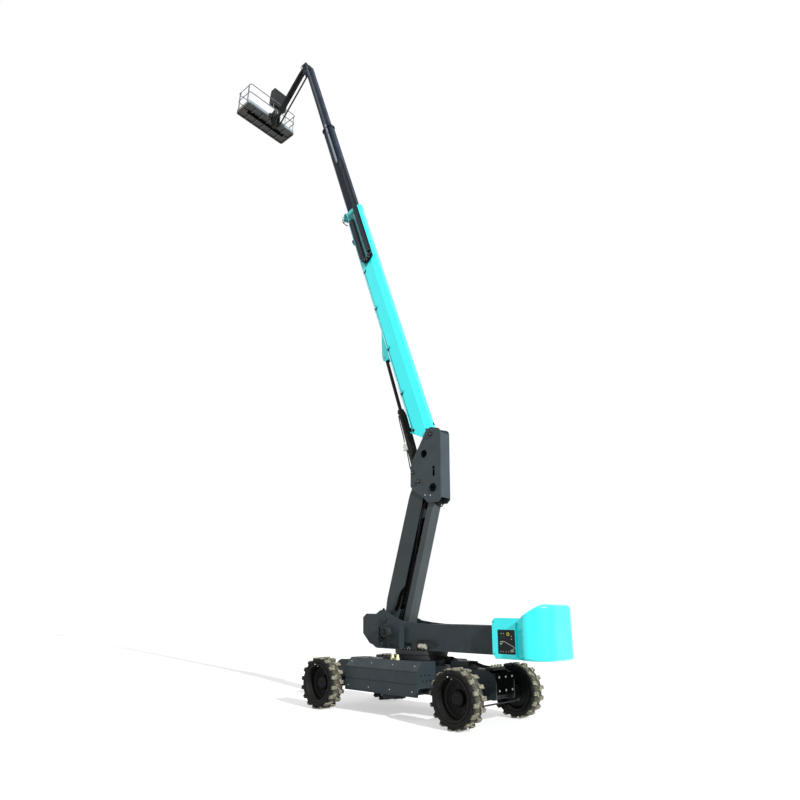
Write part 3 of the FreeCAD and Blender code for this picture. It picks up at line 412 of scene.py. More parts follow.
def shape(*drawn):
    # one mesh from entries of a maker and what it is given, in order
    bm = bmesh.new()
    for maker, *given in drawn:
        maker(bm, *given)
    return bm


def bolt(radius, height, direction=None, at=(0, 0, 0)):
    # a washer and a hexagon head, drawn along +Z and stood along direction at its place
    bm = shape((addRod, (0, 0, 0), (0, 0, height * 0.35), radius * 1.45, 16),
        (addRod, (0, 0, height * 0.3), (0, 0, height), radius, 6))
    if direction is not None:
        bm.transform(Vector(direction).to_track_quat("Z", "Y").to_matrix().to_4x4())
    bm.transform(Matrix.Translation(at))
    return bm


# the slot that each material would go to, unless a piece says another; nothing here reads this table
slotOf = {
    "black_steel": "black primerBlack wheelBlack",
    "steel": "zincPlate zincYellow machinedSteel",
    "grey": "slate riserSlate uprightSlate",
    "cast": "castIron",
    "panel": "hoseRubber absBlack yellow red markGrey",
    "cyan": "turquoise turquoiseDeep rungPale",
    "chain": "nylonBlack studGrey",
    "rail": "railGrey",
}
slotOf = {material: slotName for slotName, materials in slotOf.items() for material in materials.split()}


def linked(name, data):
    obj = bpy.data.objects.new(name, data)
    bpy.context.scene.collection.objects.link(obj)
    return obj


def dressed(obj, body):
    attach(obj, body)
    return obj


def newPiece(name, bm, material, body=None, slotName=None, place=None, bevel=0.0, smooth=False):
    bmesh.ops.remove_doubles(bm, verts=bm.verts, dist=0.00001)
    if place is not None:
        bm.transform(place)
    bmesh.ops.recalc_face_normals(bm, faces=bm.faces)
    mesh = bpy.data.meshes.new(name)
    bm.to_mesh(mesh)
    bm.free()
    obj = linked(name, mesh)
    mesh.materials.append(made[material])
    if bevel:
        edge = obj.modifiers.new("edge", "BEVEL")
        edge.width = bevel
        edge.segments = 2
        edge.limit_method = "ANGLE"
    if smooth:
        mesh.shade_smooth()
    return obj if body is None else dressed(obj, body)


def hosePiece(name, routes, radius, material, body, slotName=None, place=None):
    # hoses and pipes, each on one smooth curve led by its own points and ending on the first and last
    curve = bpy.data.curves.new(name, "CURVE")
    curve.dimensions = "3D"
    curve.bevel_depth = radius
    curve.bevel_resolution = 3
    curve.use_fill_caps = True
    for route in routes:
        spline = curve.splines.new("NURBS")
        spline.points.add(len(route) - 1)
        for point, where in zip(spline.points, route):
            point.co = (*where, 1)
        spline.order_u = 3
        spline.use_endpoint_u = True
        spline.resolution_u = 6
    helper = linked(name + "Curve", curve)
    mesh = bpy.data.meshes.new_from_object(helper.evaluated_get(bpy.context.evaluated_depsgraph_get()))
    bpy.data.objects.remove(helper)
    if place is not None:
        mesh.transform(place)
    mesh.materials.clear()
    mesh.materials.append(made[material])
    mesh.shade_smooth()
    return dressed(linked(name, mesh), body)


def repeatTree():
    # copies the piece's own geometry Count times, shifting and turning each copy by a step
    tree = bpy.data.node_groups.new("repeatInSteps", "GeometryNodeTree")
    sockets = {"Geometry": "Geometry", "Count": "Int", "Shift Start": "Vector", "Shift Step": "Vector",
        "Turn Start": "Vector", "Turn Step": "Vector", "Centre": "Vector", "Finish": "Material"}
    for label, kind in sockets.items():
        tree.interface.new_socket(label, in_out="INPUT", socket_type="NodeSocket" + kind)
    tree.interface.new_socket("Geometry", in_out="OUTPUT", socket_type="NodeSocketGeometry")
    given = addNode(tree, "NodeGroupInput").outputs
    index = addNode(tree, "GeometryNodeInputIndex").outputs["Index"]

    def stepped(motion):
        step = {0: given[motion + " Step"], "Scale": index}
        scaled = addNode(tree, "ShaderNodeVectorMath", {"operation": "SCALE"}, step)
        total = {0: given[motion + " Start"], 1: scaled.outputs[0]}
        return addNode(tree, "ShaderNodeVectorMath", {"operation": "ADD"}, total).outputs[0]

    def chained(kind, links, settings=None):
        return addNode(tree, "GeometryNode" + kind, settings, links).outputs[0]

    points = chained("Points", {"Count": given["Count"]})
    placed = chained("SetPosition", {"Geometry": points, "Position": stepped("Shift")})
    copies = chained("InstanceOnPoints", {"Points": placed, "Instance": given["Geometry"],
            "Rotation": stepped("Turn")})
    moved = chained("TranslateInstances", {"Instances": copies, "Translation": given["Centre"]},
        {"Local Space": False})
    real = chained("RealizeInstances", {"Geometry": moved})
    finished = chained("SetMaterial", {"Geometry": real, "Material": given["Finish"]})
    addNode(tree, "NodeGroupOutput", links={"Geometry": finished})
    return tree


stepTree = repeatTree()
stepSockets = {item.name: item.identifier for item in stepTree.interface.items_tree if item.in_out == "INPUT"}


def repeated(name, bm, material, count, body, slotName=None, shift=(0, 0, 0), start=(0, 0, 0), turn=(0, 0, 0),
        turnStart=(0, 0, 0), centre=(0, 0, 0), place=None):
    obj = newPiece(name, bm, material)
    steps = obj.modifiers.new("steps", "NODES")
    steps.node_group = stepTree
    values = {"Count": count, "Shift Start": start, "Shift Step": shift, "Turn Start": turnStart,
        "Turn Step": turn, "Centre": centre, "Finish": made[material]}
    for label, value in values.items():
        steps[stepSockets[label]] = value
    obj.update_tag()
    mesh = bpy.data.meshes.new_from_object(obj.evaluated_get(bpy.context.evaluated_depsgraph_get()))
    obj.modifiers.clear()
    obj.data = mesh
    if place is not None:
        mesh.transform(place)
    return dressed(obj, body)


def makersFor(body, place=None):
    # for one piece, a row or ring of copies, and hoses, all on one body and drawn in one frame
    return [partial(maker, body=body, place=place) for maker in (newPiece, repeated, hosePiece)]


def mirrored(routes):
    return routes + [[(x, -y, z) for x, y, z in route] for route in routes]


# ---- wheels
tyre = {"radius": 0.575, "half": 0.206, "lugs": 16, "reach": 0.075, "lugHalf": 0.039, "lugFoot": 0.49,
    "bead": 0.165, "bore": 0.408, "edge": 0.006}
tyreLook = {"colour": "#101111", "shade": "#161513", "dust": "#9b9885", "dustDark": "#747162", "patchMm": 40,
    "grainMm": 6, "cleanTo": 0.53, "dustyFrom": 0.555}
wheelBodies = [name for name in frame["bodies"] if name.startswith("wheel_")]


def addLug(bm):
    heel, reach, half = tyre["half"] - 0.002, tyre["reach"], tyre["lugHalf"]
    top = math.sqrt(tyre["radius"] ** 2 - reach ** 2)
    outline = [(-half, heel), (half, heel), (half, 0.095), (reach, 0.05), (reach, 0.006), (-half, 0.06)]
    roof = addPrism(bm, [(x * 1.12, y, tyre["lugFoot"]) for x, y in outline],
        [(x, y, top) for x, y in outline])
    bmesh.ops.bevel(bm, geom=list(roof.edges), offset=tyre["edge"], segments=2, affect="EDGES", profile=0.6)


half, bead = tyre["half"], tyre["bead"]
flank = [(-bead, tyre["bore"]), (-bead - 0.012, 0.42), (-bead - 0.018, 0.44), (-bead - 0.028, 0.445),
    (-bead - 0.032, 0.458), (-half + 0.004, 0.47), (-half + 0.001, 0.482), (-half + 0.006, 0.496),
    (-half + 0.022, 0.514), (-0.135, 0.534)]
casing = flank + [(-0.07, 0.539), (0.07, 0.539)] + [(-y, r) for y, r in reversed(flank)]
cap = [(0.058, 0.0), (0.058, 0.062), (0.066, 0.058), (0.072, 0.05), (0.072, 0.018), (0.078, 0.014),
    (0.078, 0.0)]
lugStep = 2 * math.pi / tyre["lugs"]
lugCorner = math.asin(tyre["reach"] / tyre["radius"])
for name in wheelBodies:
    end = name.replace("wheel_", "")
    centre = jointAt("spin_" + end)
    out = 1 if centre.y > 0 else -1
    hub = Matrix.Translation(centre)
    wheelPiece = partial(newPiece, body=name, place=hub)
    wheelRing = partial(repeated, body=name, centre=centre)
    made["rubber" + end] = tyreRubber("tyreRubber" + end, tyreLook, centre)
    rubber = wheelPiece("tyreCasing_" + end, shape((addTurned, casing, 96)), "rubber" + end, slotName="tyre",
        smooth=True)
    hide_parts("tyre_" + end)
    for row, side, first in (("outer", 1, 0.0), ("inner", -1, 0.5)):
        lug = shape((addLug,))
        lug.transform(Matrix.Diagonal((out, side * out, 1, 1)))
        wheelRing("tyreLugs_%s_%s" % (end, row), lug, "rubber" + end, tyre["lugs"], slotName="tyre",
            turn=(0, lugStep, 0), turnStart=(0, first * lugStep - lugCorner * out, 0))
    nut = bolt(0.014, 0.026, (0, out, 0), (0, -0.066 * out, 0.235))
    wheelRing("wheelNuts_" + end, nut, "castIron", 10, turn=(0, 2 * math.pi / 10, 0))
    screw = bolt(0.01, 0.016, (0, out, 0), (0, 0.046 * out, 0.118))
    wheelRing("hubBolts_" + end, screw, "black", 8, turn=(0, 2 * math.pi / 8, 0))
    newPiece("hubCap_" + end, shape((addTurned, cap, 32, False)), "wheelBlack", name,
        place=hub @ Matrix.Diagonal((1, out, 1, 1)), smooth=True)
    wheelPiece("valve_" + end, shape((addRod, (0, 0.168 * out, 0.37), (0, 0.2 * out, 0.365), 0.006, 8),
            (addRod, (0.1, 0.188 * out, 0.4), (0.105, 0.196 * out, 0.4), 0.012, 8)), "zincPlate")
print("wheels dressed", len(wheelBodies))

# ---- chassis
chassis = {"rear": -0.85, "front": 1.38, "side": 1.0185, "lid": 1.165, "screw": 0.008, "vent": 0.0205,
    "valvesAt": -2.24, "endPlateHalf": 0.325}
chassisPiece, chassisRow, chassisHoses = makersFor("chassis", machineFrame)
for side, label in bothSides:
    for row, (y, z, faced) in enumerate(((1.02, 0.575, (0, side, 0)),
            (0.93, 1.08, (0, 0.707 * side, 0.707)))):
        chassisRow("boxScrews_%s_%d" % (label, row), bolt(chassis["screw"], 0.01, faced), "zincPlate", 4,
            shift=(0.66, 0, 0), start=(chassis["rear"] + 0.13, y * side, z))
    chassisRow("boxEndScrews_" + label, bolt(chassis["screw"] * 0.7, 0.006, (-1, 0, 0)), "castIron", 3,
        slotName="steel", shift=(0, -0.19 * side, 0.0), start=(chassis["rear"], 0.86 * side, 1.06))
    for row in range(2):
        # the dark behind the vent holes
        shade = shape((addRod, (0.003, 0, 0), (0.005, 0, 0), chassis["vent"], 20))
        chassisRow("ventShades_%s_%d" % (label, row), shade, "primerBlack", 3, shift=(0, -0.135 * side, 0),
            start=(chassis["rear"], (0.87 - 0.06 * row) * side, 0.895 - 0.115 * row))
    wall = chassis["side"] * side
    seams = [(addBox, (chassis["rear"] + 0.02, wall - 0.0015, z),
            (chassis["front"] - 0.02, wall + 0.0025, z + 0.006)) for z in (0.5, 0.962)]
    chassisPiece("boxSeams_" + label, shape(*seams), "black")
tops = bmesh.new()
for x, y in ((0.16, 0.69), (-0.05, 0.75), (0.16, -0.69)):
    addRod(tops, (x, y, chassis["lid"]), (x, y, 1.21), 0.05, 20)
    addRod(tops, (x, y, 1.21), (x, y, 1.285), 0.038, 20, 0.03)
chassisPiece("boxFittings", tops, "zincYellow", bevel=0.003)
tankCap = shape((addRod, (0.42, 0.55, chassis["lid"]), (0.42, 0.55, 1.2), 0.13, 32),
    (addRod, (0.42, 0.55, 1.198), (0.42, 0.55, 1.23), 0.085, 32, 0.075))
chassisPiece("tankCap", tankCap, "absBlack", bevel=0.004)
latches = bmesh.new()
for y in (-0.62, 0.62):
    for x in (-0.45, 0.95):
        addBox(latches, (x - 0.05, y - 0.03, 1.168), (x + 0.05, y + 0.03, 1.182))
        addBox(latches, (x - 0.035, y - 0.012, 1.18), (x + 0.03, y + 0.012, 1.192))
chassisPiece("lidLatches", latches, "black", bevel=0.003)
for side, label in bothSides:
    chassisRow("framePlateBolts_" + label, bolt(0.012, 0.012, (0, side, 0)), "castIron", 3, slotName="steel",
        shift=(0, 0, 0.12), start=(-2.28, 0.36 * side, 0.6))
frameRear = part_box("chassis_frame")[0][0]
endPlate = shape((addBox, (frameRear - 0.008, -chassis["endPlateHalf"], 0.6),
        (frameRear + 0.004, chassis["endPlateHalf"], 1.03)))
newPiece("frameEndPlate", endPlate, "primerBlack", "chassis", bevel=0.003)
for row, z in enumerate((0.68, 0.94)):
    repeated("frameEndBolts_%d" % row, bolt(0.015, 0.016, (-1, 0, 0)), "zincPlate", 3, "chassis",
        shift=(0, 0.25, 0), start=(frameRear - 0.008, -0.25, z))
valveRow = [0.16 - 0.11 * i for i in range(4)]
unions = [(addRod, (chassis["valvesAt"], y, 1.105), (chassis["valvesAt"], y, 1.165), 0.028, 6)
    for y in valveRow]
chassisPiece("hoseUnions", shape(*unions), "zincYellow", bevel=0.002)
chassisPiece("valveBlock", shape((addBox, (-2.31, -0.24, 1.055), (-2.12, 0.23, 1.11))), "black", bevel=0.004)
chassisHoses("chassisHoses", [[(-2.14, y, 1.085), (-2.04, y, 1.1), (-1.9, y * 0.8, 1.1),
        (-1.75, y * 0.5, 1.14), (-1.6, y * 0.4, 1.19)] for y in valveRow], 0.013, "hoseRubber")
chassisHoses("ringHoses", [[(-1.15, 0.1, 1.18), (-1.02, 0.12, 1.25), (-0.86, 0.14, 1.23),
        (-0.76, 0.15, 1.19)], [(-1.15, 0.02, 1.18), (-1.0, 0.02, 1.26), (-0.86, 0.04, 1.24),
        (-0.76, 0.05, 1.19)], [(-1.15, -0.08, 1.18), (-1.02, -0.09, 1.25), (-0.86, -0.1, 1.23),
        (-0.76, -0.1, 1.19)]], 0.016, "hoseRubber")
repeated("bellyDrumBolts", bolt(0.013, 0.014, (0, 0, -1), (0.24, 0, 0)), "black", 8, "chassis",
    turn=(0, 0, math.pi / 4), centre=(middleX + 0.7, 0, 0.26))
print("chassis dressed")

# ---- slewing ring
ring = {"bolts": 28, "boltCircle": 0.345, "teeth": 90, "outer": 0.6, "gearFoot": 1.19, "seal": 1.3}
repeated("ringBoltsInside", bolt(0.014, 0.022, None, (ring["boltCircle"], 0, 0)), "zincPlate", ring["bolts"],
    "turntable", turn=(0, 0, 2 * math.pi / ring["bolts"]), centre=(slewAt.x, 0, 1.404))
tooth = shape((addBox, (ring["outer"] - 0.004, -0.01, 0.012), (ring["outer"] + 0.012, 0.01, 0.088)))
repeated("ringTeeth", tooth, "castIron", ring["teeth"], "chassis", turn=(0, 0, 2 * math.pi / ring["teeth"]),
    centre=(slewAt.x, 0, ring["gearFoot"]))
newPiece("ringSeal", shape((addTurned, [(-0.006, 0.625), (0.0, 0.634), (0.006, 0.625)], 96)), "hoseRubber",
    "turntable", "cast", smooth=True, place=Matrix.Translation((slewAt.x, 0, ring["seal"]))
    @ Matrix.Rotation(math.radians(90), 4, "X"))
print("slewing ring dressed")

# ---- turntable
turntable = {"plate": 0.398, "bossX": 0.596, "bossZ": 1.751, "pinX": 0.755, "driveX": (-0.6, -0.52)}
turntablePiece, turntableRow, turntableHoses = makersFor("turntable", machineFrame)
keeperOutline = [(0.66, 1.99), (0.68, 1.975), (0.8, 1.975), (0.82, 1.99), (0.82, 2.05), (0.8, 2.065),
    (0.68, 2.065), (0.66, 2.05)]
for side, label in bothSides:
    x, boss = turntable["pinX"], (turntable["bossX"], turntable["bossZ"])
    fitting = shape((addRod, (x, 0.386 * side, 2.245), (x, 0.386 * side, 2.268), 0.04, 20),
        (addRod, (x, 0.386 * side, 2.262), (x, 0.386 * side, 2.3), 0.028, 20, 0.022),
        (addBox, (0.655, side * 0.4 - 0.002, 1.755), (0.7, side * 0.44, 1.775)),
        (addBox, (0.655, side * 0.4 - 0.002, 1.69), (0.7, side * 0.44, 1.71)),
        (addPin, boss, 0.549 * side, 0.566 * side, 0.09, 32),
        (addPin, boss, 0.56 * side, 0.58 * side, 0.035, 20))
    turntablePiece("bossFace_" + label, fitting, "black", bevel=0.003)
    repeated("bossBolts_" + label, bolt(0.009, 0.012, (0, side, 0), (0, 0.566 * side, 0.068)), "black", 6,
        "turntable", turn=(0, math.pi / 3, 0), centre=(middleX + turntable["bossX"], 0, turntable["bossZ"]))
    keeper = shape((addPlate, keeperOutline, 0.43 * side, 0.442 * side))
    turntablePiece("riserPinKeeper_" + label, keeper, "slate", bevel=0.003)
    turntableRow("keeperBolts_" + label, bolt(0.012, 0.014, (0, side, 0)), "castIron", 2, shift=(0.11, 0, 0),
        start=(0.685, 0.442 * side, 2.02))
    turntableRow("plateBolts_" + label, bolt(0.011, 0.012, (0, side, 0)), "slate", 5, shift=(0.3, 0, 0),
        start=(-2.3, 0.4 * side, 1.46))
    plate = turntable["plate"] * side
    edgeStrip = shape((addBox, (-0.6, plate - 0.0035, 1.395), (0.06, plate + 0.0035, 1.402)))
    turntablePiece("plateWeld_" + label, edgeStrip, "slate")
turntableHoses("bossHoses", mirrored([[(0.5, 0.58, 1.83), (0.44, 0.585, 1.72), (0.46, 0.585, 1.6),
        (0.56, 0.58, 1.55), (0.68, 0.575, 1.58), (0.72, 0.56, 1.66)],
        [(0.52, 0.57, 1.86), (0.6, 0.58, 1.92), (0.7, 0.57, 1.9), (0.75, 0.52, 1.8), (0.74, 0.46, 1.7)],
        [(0.4, 0.43, 1.44), (0.42, 0.5, 1.5), (0.44, 0.54, 1.62), (0.47, 0.54, 1.74), (0.5, 0.5, 1.86),
        (0.48, 0.44, 1.92)]]), 0.011, "hoseRubber")
turntableHoses("motorHoses", [[(-0.6, 0.5, 1.52), (-0.62, 0.51, 1.57), (-0.74, 0.5, 1.58),
        (-0.86, 0.44, 1.54), (-0.9, 0.412, 1.47)], [(-0.52, 0.5, 1.52), (-0.54, 0.52, 1.6),
        (-0.74, 0.51, 1.62), (-0.92, 0.45, 1.58), (-0.97, 0.412, 1.5)]], 0.012, "hoseRubber")
unions = [(addRod, (x, 0.49, 1.51), (x, 0.5, 1.545), 0.018, 6) for x in turntable["driveX"]]
turntablePiece("motorUnions", shape(*unions), "machinedSteel", bevel=0.002)
can = shape((addRod, (-0.668, 0.475, 1.47), (-0.47, 0.475, 1.47), 0.061, 32),
    (addRod, (-0.6, 0.475, 1.47), (-0.585, 0.475, 1.47), 0.066, 32))
turntablePiece("motorCan", can, "machinedSteel", bevel=0.003)
turntableRow("driveBolts", bolt(0.011, 0.012, (0, 1, 0)), "zincPlate", 8, shift=(0.075, 0, 0),
    start=(-0.5, 0.4, 1.393))
turntableHoses("wellHoses", [[(0.02 - 0.04 * i, -0.1 + y, 1.42), (0.1, -0.1 + y, 1.6), (0.3, -0.12 + y, 1.55),
        (0.62, -0.12 + y, 1.46), (0.9, -0.12 + y, 1.48)] for i, y in enumerate((0.0, 0.05, 0.1, 0.15, 0.2))],
    0.014, "hoseRubber")
print("turntable dressed")

# ---- ground controls
panelLow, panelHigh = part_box("control_panel")
panel = {"stop": (0.6, 0.82), "switchRow": 0.1,
    "lamps": ((0.22, 0.84), (0.36, 0.84), (0.8, 0.62), (0.8, 0.74))}
panelPiece = partial(newPiece, body="turntable", slotName="panel")


def onPanel(u, v, out=0.0):
    # u from left to right as seen from outside, v from the foot up, both 0 to 1
    return (panelHigh[0] - u * (panelHigh[0] - panelLow[0]), panelHigh[1] + out,
        panelLow[2] + v * (panelHigh[2] - panelLow[2]))


def addSlab(bm, first, last, near, far):
    ends = list(zip(onPanel(*first, near), onPanel(*last, far)))
    addBox(bm, [min(p) for p in ends], [max(p) for p in ends])


def addKnob(bm, at, near, far, radius, sides, endRadius=None):
    addRod(bm, onPanel(*at, near), onPanel(*at, far), radius, sides, endRadius)


edges = (((0.03, 0.03), (0.97, 0.06)), ((0.03, 0.94), (0.97, 0.97)), ((0.03, 0.06), (0.06, 0.94)),
    ((0.94, 0.06), (0.97, 0.94)))
panelPiece("panelBezel", shape(*[(addSlab, first, last, -0.002, 0.006) for first, last in edges]), "absBlack",
    bevel=0.002)
panelPiece("stopRing", shape((addKnob, panel["stop"], -0.002, 0.006, 0.036, 32)), "yellow", bevel=0.001)
mushroom = shape((addKnob, panel["stop"], 0.004, 0.014, 0.014, 20),
    (addKnob, panel["stop"], 0.012, 0.024, 0.02, 32, 0.016))
panelPiece("stopButton", mushroom, "red", bevel=0.002)
strokes = [((0.14, 0.5), (0.36, 0.52)), ((0.36, 0.52), (0.92, 0.3)), ((0.92, 0.3), (0.9, 0.2)),
    ((0.18, 0.38), (0.3, 0.5)), ((0.12, 0.44), (0.22, 0.4)), ((0.7, 0.14), (0.9, 0.22)),
    ((0.76, 0.12), (0.92, 0.12)), ((0.74, 0.18), (0.88, 0.14))]
sketch = shape(*[(addRod, onPanel(*a, 0.0015), onPanel(*b, 0.0015), 0.007, 6) for a, b in strokes])
panelPiece("panelSketch", sketch, "markGrey")
switches = [(addKnob, (0.16 + 0.15 * i, panel["switchRow"]), 0.0, 0.01, 0.01, 10) for i in range(5)]
lamps = [(addKnob, at, 0.0, 0.012, 0.012, 10) for at in panel["lamps"]]
panelPiece("panelSwitches", shape(*switches, *lamps), "machinedSteel", bevel=0.001)
panelPiece("panelWindow", shape((addSlab, (0.14, 0.64), (0.46, 0.76), 0.0, 0.004)), "castIron", bevel=0.001)
coverLow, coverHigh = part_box("side_covers")
for (side, label), y in zip(bothSides, (coverHigh[1], coverLow[1])):
    repeated("coverScrews_" + label, bolt(0.01, 0.008, (0, side, 0)), "turquoiseDeep", 2, "turntable",
        shift=(0, 0, 0.62), start=(coverHigh[0] - 0.045, y, 1.42))
print("ground controls and weight dressed")

# ---- riser
riser = {"half": 0.161, "depth": 0.235, "hoseTop": 0.262, "ends": 0.45}
riserPiece, riserRow, riserHoses = makersFor("riser_arm", riserFrame)
top, last = riser["hoseTop"], riserLength - riser["ends"]
riserHoses("riserHoses", [[(riser["ends"], y, 0.245), (0.8, y, top), (1.6, y, top), (2.3, spread, top),
        (2.5, wide, top), (2.9, wide, top), (3.1, y, top), (last, y, 0.25)] for y, spread,
        wide in [(0.06 * s, 0.1 * s, 0.135 * s) for s in (-1, -0.55, 0.55, 1)]], 0.014, "hoseRubber")
riserRow("riserClamps", shape((addBox, (-0.02, -0.1, 0.233), (0.02, 0.1, 0.25))), "black", 3,
    shift=(0.55, 0, 0), start=(0.75, 0, 0))
for side, label in bothSides:
    y = riser["half"] * side
    edgeStrip = shape(*[(addBox, (riser["ends"], y - 0.006, low), (last, y + 0.006, low + 0.007))
            for low in (riser["depth"] - 0.004, -riser["depth"] - 0.003)])
    riserPiece("riserWelds_" + label, edgeStrip, "riserSlate", bevel=0.002)
farEnd = riserLength + 0.02
# a flat black sheet over the riser arm's rear face: painted shade in the gap between the arm and the link
strip = [(-0.02, 0.149), (-0.02, 0.153), (0.42, 0.239), (riserLength - 0.4, 0.239), (farEnd, 0.153),
    (farEnd, 0.149), (riserLength - 0.4, 0.233), (0.42, 0.233)]
riserPiece("riserBackStrip", shape((addPlate, strip, -0.155, 0.155)), "primerBlack")
riserHoses("riserFootHoses", [[(0.28, 0.188, up - 0.05), (0.42, 0.19, up), (0.62, 0.19, up),
        (0.8, 0.18, up + 0.04), (0.92, 0.13, top)] for up in (0.165, 0.215)], 0.024, "primerBlack",
    slotName="panel")
hosePiece("riserRamPipe", [[(0.12, 0.055, 0.03), (0.2, 0.076, 0.0), (0.9, 0.076, 0.0), (1.7, 0.076, 0.0),
        (1.84, 0.066, 0.01)]], 0.01, "black", "riser_ram_barrel", place=riserRamFrame)
print("riser dressed")

# ---- upright
upright = {"out": 0.195, "inside": 0.172, "pins": 0.22, "hole": (-0.388, 6.099), "linkPin": (-0.69, 5.18)}
uprightPiece = partial(newPiece, body="upright")
x, z = liftFoot.x, liftFoot.z
doubler = [(x + 0.08, z - 0.25), (x + 0.08, z + 0.12), (x + 0.03, z + 0.15), (x - 0.085, z + 0.15),
    (x - 0.085, z - 0.3), (x - 0.02, z - 0.36)]
slotCorners = [(-0.755, 5.452), (-0.649, 5.452), (-0.649, 5.754), (-0.755, 5.754)]
for side, label in bothSides:
    plate = shape((addPlate, doubler, (upright["out"] - 0.001) * side, (upright["out"] + 0.007) * side))
    uprightPiece("footDoubler_" + label, plate, "uprightSlate", bevel=0.002)
    heads, greasers = bmesh.new(), bmesh.new()
    for joint, radius, proud in (("boom_lower", 0.062, 0.005), ("upright_level", 0.057, 0),
            ("lift_ram_swing", 0.047, 0)):
        at, base = jointAt(joint).xz, upright["pins"] + proud
        addPin(heads, at, base * side, (base + 0.008) * side, radius)
        addPin(greasers, at, (base + 0.006) * side, (base + 0.018) * side, 0.01, 8)
    uprightPiece("pinHeads_" + label, heads, "black", bevel=0.002)
    uprightPiece("greasers_" + label, greasers, "zincPlate")
    shades = [(addPlate, outline, 0.1665 * side, 0.1755 * side)
        for outline in (oval(*upright["hole"], 0.125, 0.125, 24), slotCorners)]
    uprightPiece("holeShades_" + label, shape(*shades), "primerBlack", place=machineFrame)
    rim = [(0.193 * side, 0.103), (0.199 * side, 0.103), (0.199 * side, 0.117), (0.193 * side, 0.117)]
    uprightPiece("holeRim_" + label, shape((addTurned, rim, 48, True, *upright["hole"])), "uprightSlate",
        place=machineFrame)
    # a bolted flat black disc on the cheek at the link pin: painted shade standing for the dark of the hole
    # there
    cover = shape((addPin, upright["linkPin"], 0.206 * side, 0.214 * side, 0.108, 40))
    uprightPiece("linkPinCap_" + label, cover, "primerBlack", place=machineFrame, bevel=0.003)
    repeated("linkCapBolts_" + label, bolt(0.009, 0.01, (0, side, 0), (0, 0.213 * side, 0.075)), "black", 6,
        "upright", turn=(0, math.pi / 3, 0), centre=(middleX + upright["linkPin"][0], 0,
            upright["linkPin"][1]))
    x, z = boomRoot.x, boomRoot.z
    keeper = shape((addBox, (x - 0.02, 0.193 * side - 0.004, z - 0.11),
            (x + 0.02, 0.193 * side + 0.008, z - 0.055)))
    uprightPiece("pinKeeper_" + label, keeper, "slate", bevel=0.002)
    repeated("uprightBolts_" + label, bolt(0.012, 0.014, (0, side, 0)), "zincPlate", 2, "upright",
        shift=(0.17, 0, 0.025), start=(riserHead.x - 0.38, upright["out"] * side, riserHead.z - 0.4))
    y = upright["inside"] * side
    # a thin black strip on the inside face of the cheek: painted shade where the cheek's edge stands against
    # the riser
    edgeStrip = shape((addBox, (x - 0.312, y - 0.003, riserHead.z - 0.46), (x - 0.306, y + 0.003, z - 0.02)))
    uprightPiece("uprightWeld_" + label, edgeStrip, "black", bevel=0.002)
hosePiece("uprightHoses", [[(-0.82 + 0.03 * i, y, 5.02), (-0.8 + 0.03 * i, y, 4.84),
        (-0.7, y, 4.72 + 0.02 * i), (-0.6 - 0.02 * i, y, 4.8), (-0.56 - 0.02 * i, y, 5.0)] for i,
        y in enumerate((-0.12, -0.06, 0.0, 0.06, 0.12))], 0.016, "hoseRubber", "upright", place=machineFrame)
stand = shape((addRod, (-0.24, 0.02, 5.66), (-0.24, 0.02, 5.78), 0.045, 24),
    (addRod, (-0.24, 0.02, 5.78), (-0.22, 0.02, 5.9), 0.028, 24),
    (addBox, (-0.42, -0.06, 5.66), (-0.32, 0.1, 5.74)))
uprightPiece("manifold", stand, "zincPlate", place=machineFrame, bevel=0.003)

# ---- lift ram
ramPiece, _, ramHoses = makersFor("lift_ram_barrel", liftRamFrame)
block = shape((addBox, (0.74, 0.055, -0.13), (0.93, 0.14, -0.03)),
    (addRod, (0.79, 0.1, -0.13), (0.79, 0.1, -0.18), 0.026, 16),
    (addRod, (0.87, 0.1, -0.13), (0.87, 0.1, -0.165), 0.022, 6),
    (addRod, (0.93, 0.1, -0.08), (0.985, 0.1, -0.08), 0.024, 16))
ramPiece("holdingValve", block, "zincPlate", bevel=0.003)
ramHoses("liftRamPipes", [[(0.96, 0.1, -0.08), (1.06, 0.095, -0.085), (1.14, 0.07, -0.09), (1.3, 0.05, -0.1),
        (1.7, 0.05, -0.1), (1.86, 0.045, -0.082)], [(0.78, 0.03, -0.1), (0.5, -0.02, -0.13),
        (0.2, -0.04, -0.16), (-0.04, -0.05, -0.12), (-0.14, -0.06, -0.02)],
        [(0.84, 0.05, -0.11), (0.56, 0.03, -0.145), (0.2, 0.03, -0.18), (-0.08, 0.03, -0.12),
        (-0.17, 0.03, -0.01)], [(0.1, 0.085, 0.02), (0.3, 0.105, 0.04), (0.7, 0.105, 0.05),
        (1.3, 0.105, 0.05), (1.8, 0.1, 0.04), (1.9, 0.085, 0.02)],
        [(0.08, 0.08, 0.05), (0.3, 0.095, 0.075), (0.7, 0.095, 0.085), (1.2, 0.095, 0.085),
        (1.5, 0.08, 0.075), (1.62, 0.07, 0.055)]], 0.014, "hoseRubber")
ramHoses("liftRamHoses", [[(0.05, y, 0.09), (0.24, y, 0.125), (0.7, y, 0.132), (1.3, y, 0.132),
        (1.75, y, 0.122), (1.9, y, 0.09)] for y in (-0.03, 0.02, 0.07)], 0.022, "hoseRubber")
gland = shape((addTurned, [(1.925, 0.09), (1.925, 0.101), (1.955, 0.101), (1.955, 0.09)], 40))
newPiece("glandNut", gland, "black", "lift_ram_barrel",
    place=liftRamFrame @ Matrix.Rotation(math.radians(-90), 4, "Z"))
print("upright and lift ram dressed")

